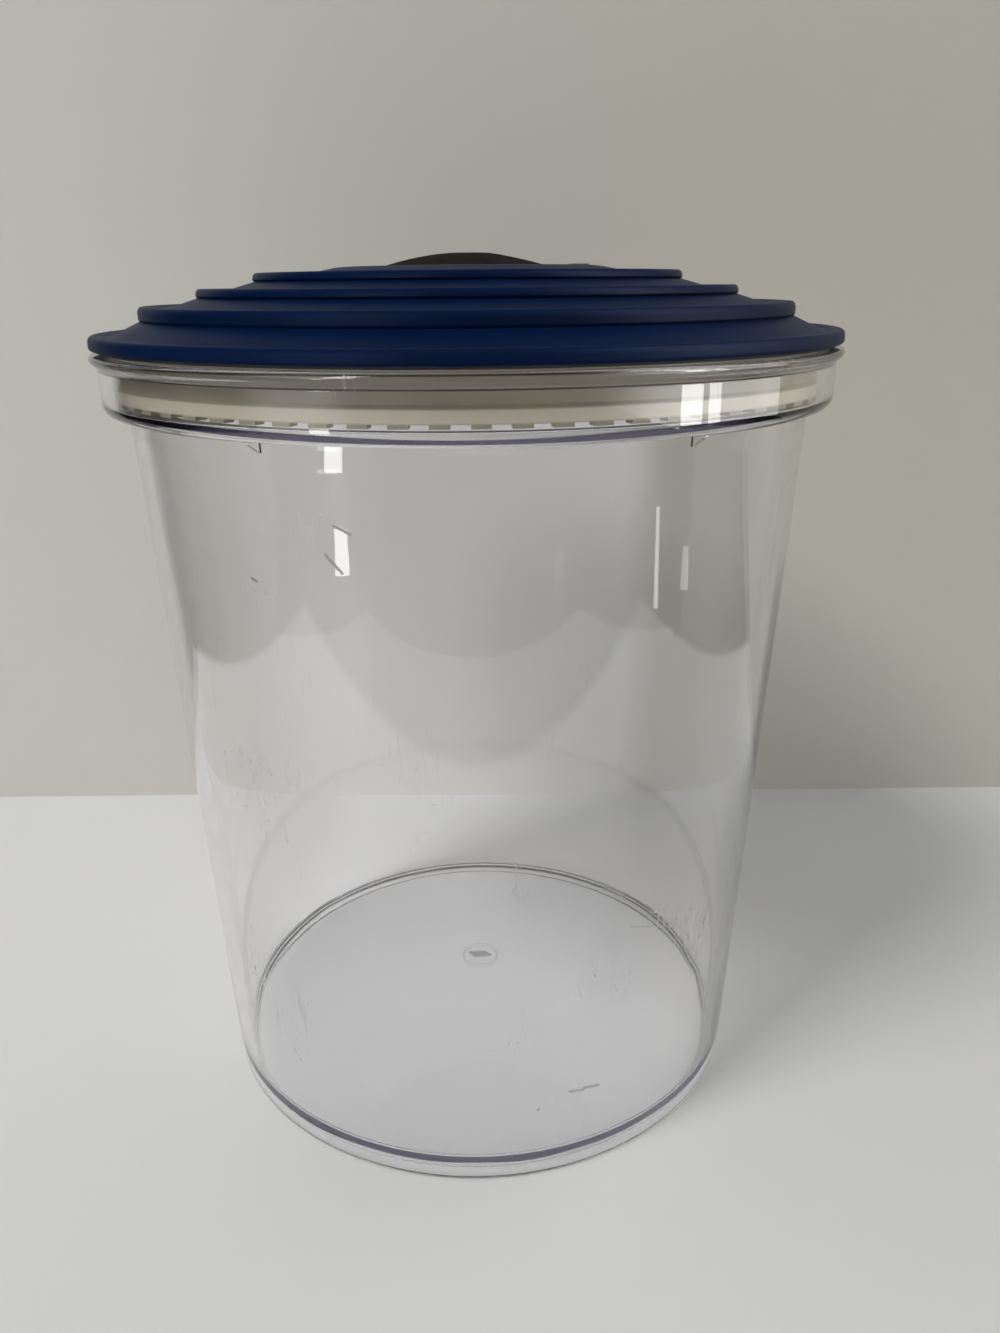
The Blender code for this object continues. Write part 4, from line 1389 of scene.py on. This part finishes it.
@dataclass(frozen=True)
class Patch:
    """A bright strip on the table that points at the canister, which shows only in glossy surfaces.

    Its azimuth is in degrees from the front towards the right, and its reach is from and to the axis.
    """

    name: str
    azimuth: float
    reach: Pair
    width: float
    radiance: float
    level: float = 0.001
    colour: Colour = (1.0, 1.0, 0.97)

    def lay(self) -> None:
        """Lay the strip on the table."""
        turn = math.radians(self.azimuth)
        near, far = self.reach
        middle = (near + far) / 2
        size = (far - near, self.width)
        spot = (middle * math.sin(turn), -middle * math.cos(turn), self.level)
        power = self.radiance * math.pi * size[0] * size[1]
        made = Lamp(self.name, spot, (0.0, 0.0, 1.0), size, power, self.colour, lighting=False).hang()
        made.rotation_euler = (math.pi, 0.0, turn - math.pi / 2)


@dataclass
class Studio:
    """The pale table and wall, the soft lights and the camera."""

    focal: float = 1035.69
    image_height: float = 1333.0
    sensor: float = 36.0
    clip_start: float = 0.01
    eye: Triple = (0.0, -0.24268, 0.18744)
    pitch: float = 0.35411
    yaw: float = 0.025478
    roll: float = -0.008788
    wall_distance: float = 0.1225
    wall_turn: float = -0.023
    floor_level: float = -0.0001
    half: float = 3.0
    buried: float = 0.1
    floor_colour: Colour = (0.78, 0.78, 0.77)
    # Painted light: a lighter colour for the table under the canister, seen only through the clear plastic.
    under_colour: Colour = (0.87, 0.87, 0.885)
    under_disc: Pair = (0.0665, 0.0645)
    under_side: Pair = (0.070, 0.045)
    under_north: Pair = (0.0, 0.02)
    table_side: Pair = (0.325, 0.335)
    table_front: Pair = (-0.235, -0.245)
    wall_colour: Colour = (0.72, 0.705, 0.65)
    # Painted shade: a darker, warmer colour towards the right of the wall.
    wall_far_colour: Colour = (0.60, 0.57, 0.48)
    wall_far_east: Pair = (-0.2, 0.25)
    wall_far_up: Pair = (0.02, 0.22)
    # Painted light: a lighter colour for the wall behind the canister, seen only through the clear plastic.
    behind_colour: Colour = (0.94, 0.93, 0.905)
    behind_left: Pair = (-0.135, -0.05)
    behind_right: Pair = (0.075, 0.055)
    behind_up: Pair = (0.175, 0.155)
    wall_top: Pair = (0.42, 0.546)
    wall_left: Pair = (-0.22, -0.308)
    dim_colour: Colour = (0.03, 0.03, 0.03)
    cloud: Grain = Grain(6.0)
    cloud_share: float = 0.04
    roughness: float = 0.5
    gloss: float = 0.05
    sky: Colour = (0.93, 0.96, 1.0)
    fill: float = 0.38
    dim: float = 0.06
    room: Colour = (1.0, 0.99, 0.96)
    seen: float = 0.45
    seen_up: Pair = (0.6, 0.3)
    lamps: tuple[Lamp, ...] = (
        Lamp("overhead", (-0.35, -0.15, 1.4), (0.0, 0.0, 0.0), (1.2, 1.2), 1.5, (1.0, 0.99, 0.97)),
        Lamp("key_left", (-1.483, -1.176, 2.553), (0.0, 0.03, 0.06), (0.86, 0.86), 43.0, (1.0, 0.99, 0.98), False),
    )
    windows: tuple[Window, ...] = (
        Window("broad_left", -48.0, (0.50, 0.60), 1.3, soft=0.4),
        Window("strip_left", -41.0, (0.07, 0.09), 9.0, low=-0.005),
        Window("high_left", -34.0, (0.10, 0.60), 7.5, low=0.15),
        Window("broad_right", 73.0, (1.10, 1.15), 3.2, low=0.08, soft=0.35),
        Window("strip_right", 62.4, (0.090, 1.15), 8.5),
        Window("strip_right_thin", 70.3, (0.054, 1.15), 6.5),
    )
    patches: tuple[Patch, ...] = (
        Patch("patch_left", -40.0, (0.445, 0.53), 0.036, 9.0),
        Patch("patch_left_far", -43.0, (0.67, 0.76), 0.085, 3.2),
        Patch("patch_right", 58.6, (0.39, 0.58), 0.012, 5.0),
        Patch("patch_right_broad", 70.0, (0.42, 0.50), 0.022, 2.5),
    )

    def table_finish(self) -> bpy.types.Material:
        """Return the pale table's finish, with painted light under the canister where it is seen through the clear
        plastic, and dim past its edges in reflections.
        """
        sheet = Sheet("table_finish")
        place = sheet.place()
        east, north, _ = sheet.split(place)
        side = east.size()
        # Painted light: the table is lighter in a disc under the canister and a strip behind it, only in rays through
        # the clear plastic.
        strip = side.between(*self.under_side) * north.between(*self.under_north)
        under = sheet.radius(place).between(*self.under_disc).most(strip)
        tone = sheet.blend(under * self.through(sheet), self.floor_colour, self.under_colour)
        far = side.between(*self.table_side).most(north.between(*self.table_front))
        return sheet.close(self.pale(sheet, place, tone, far))

    def wall_finish(self) -> bpy.types.Material:
        """Return the pale wall's finish, with painted shade that makes it darker and warmer towards the right,
        painted light behind the canister where it is seen through the clear plastic, and seen through from behind.
        """
        sheet = Sheet("wall_finish")
        place = sheet.place()
        east, _, up = sheet.split(place)
        # Painted shade: darker and warmer towards the right, and more so higher up.
        shade = east.between(*self.wall_far_east) * (up.between(*self.wall_far_up) * 0.5 + 0.5)
        # Painted light: lighter behind the canister, only in rays through the clear plastic.
        behind = east.between(*self.behind_left) * east.between(*self.behind_right) * up.between(*self.behind_up)
        tone = sheet.blend(shade, self.wall_colour, self.wall_far_colour)
        tone = sheet.blend(behind * self.through(sheet), tone, self.behind_colour)
        far = up.between(*self.wall_top).most(east.between(*self.wall_left))
        back = sheet.add("ShaderNodeNewGeometry", output="Backfacing")
        faces = {0: back, 1: self.pale(sheet, place, tone, far), 2: sheet.add("ShaderNodeBsdfTransparent")}
        return sheet.close(sheet.add("ShaderNodeMixShader", inputs=faces))

    @staticmethod
    def through(sheet: Sheet) -> Signal:
        """Return 1 for rays that came through the clear plastic."""
        return sheet.add("ShaderNodeLightPath", output="Is Transmission Ray")

    def pale(self, sheet: Sheet, place: Signal, colour: object, far: Signal) -> Signal:
        """Return a faintly clouded pale surface that reflections show as dim where it is far off.

        Args:
            sheet: the material's sheet.
            place: the position.
            colour: the colour or signal.
            far: 0 near the canister, 1 where it is far off.

        Returns:
            The shader.
        """
        clouded = sheet.blend(sheet.noise(place, self.cloud) * self.cloud_share, colour, self.dim_colour)
        rays = sheet.node("ShaderNodeLightPath")
        mirrored = Signal(sheet, rays.outputs["Glossy Depth"]).above(0.5)
        direct = 1.0 - Signal(sheet, rays.outputs["Diffuse Depth"]).above(0.5)
        base = sheet.blend(mirrored * direct * far, clouded, self.dim_colour)
        inputs = {"Base Color": base, "Roughness": self.roughness, "Specular IOR Level": self.gloss}
        return sheet.principled(inputs)

    def plane(self, name: str, matrix: Matrix, material: bpy.types.Material) -> None:
        """Add a flat stage piece."""
        bm = bmesh.new()
        bmesh.ops.create_grid(bm, x_segments=1, y_segments=1, size=self.half, matrix=matrix)
        made = Shaper.loose(name, bm)
        made.data.materials.append(material)

    def camera(self) -> None:
        """Place the camera where the photograph was taken."""
        ahead = math.cos(self.pitch)
        forward = Vector((math.sin(self.yaw) * ahead, math.cos(self.yaw) * ahead, -math.sin(self.pitch)))
        right = Vector((math.cos(self.yaw), -math.sin(self.yaw), 0.0))
        above = right.cross(forward)
        side = right * math.cos(self.roll) + above * math.sin(self.roll)
        top = above * math.cos(self.roll) - right * math.sin(self.roll)
        lens = bpy.data.cameras.new("camera")
        lens.sensor_fit = "AUTO"
        lens.sensor_width = self.sensor
        lens.lens = self.sensor * self.focal / self.image_height
        lens.clip_start = self.clip_start
        made = bpy.data.objects.new("camera", lens)
        columns = (side, top, -forward, Vector(self.eye))
        made.matrix_world = Matrix([[column[row] for column in columns] for row in range(3)] + [[0.0, 0.0, 0.0, 1.0]])
        bpy.context.scene.collection.objects.link(made)
        bpy.context.scene.camera = made

    def world(self) -> None:
        """Fill the room softly, pale to the camera and through clear pieces and dim in reflections."""
        sheet = Sheet("room", bpy.data.worlds.new("room"))
        rays = sheet.node("ShaderNodeLightPath")
        camera, glossy, passed, diffused = (
            Signal(sheet, rays.outputs[name])
            for name in ("Is Camera Ray", "Is Glossy Ray", "Is Transmission Ray", "Diffuse Depth")
        )
        up = sheet.split(sheet.add("ShaderNodeTexCoord", output="Generated"))[2]
        seen = camera.most(passed * (1.0 - diffused.above(0.5)) * up.between(*self.seen_up))
        fill, dim, pale = (
            sheet.add("ShaderNodeBackground", inputs={"Color": (*colour, 1.0), "Strength": strength})
            for colour, strength in ((self.sky, self.fill), (self.sky, self.dim), (self.room, self.seen))
        )
        unseen = sheet.add("ShaderNodeMixShader", inputs={0: glossy, 1: fill, 2: dim})
        bpy.context.scene.world = sheet.close(sheet.add("ShaderNodeMixShader", inputs={0: seen, 1: unseen, 2: pale}))

    def build(self) -> None:
        """Build the stage, the lights and the camera."""
        self.plane("floor", Matrix.Translation((0.0, 0.0, self.floor_level)), self.table_finish())
        stood = Matrix.Translation((0.0, self.wall_distance, self.half - self.buried))
        turn = Matrix.Rotation(self.wall_turn, 4, "Z")
        self.plane("wall", stood @ turn @ Matrix.Rotation(math.pi / 2, 4, "X"), self.wall_finish())
        for lamp in self.lamps:
            lamp.hang()
        for card in self.windows:
            card.stand()
        for strip in self.patches:
            strip.lay()
        self.world()
        self.camera()


def main() -> None:
    """Dress the canister and set the studio."""
    logging.basicConfig(level=logging.INFO, format="%(message)s")
    bpy.context.scene.view_settings.view_transform = "Standard"
    cycles = bpy.context.scene.cycles
    cycles.max_bounces = 128
    cycles.glossy_bounces = 96
    cycles.transmission_bounces = 48
    cycles.transparent_max_bounces = 24
    Studio().build()
    for maker in (Jar(), Cover(), IndexTab(), Frame(), RimGasket(), Screen(), ValveDial(), ValveSpring()):
        maker.build()
    HiddenParts().dress()


if __name__ == "__main__":
    main()
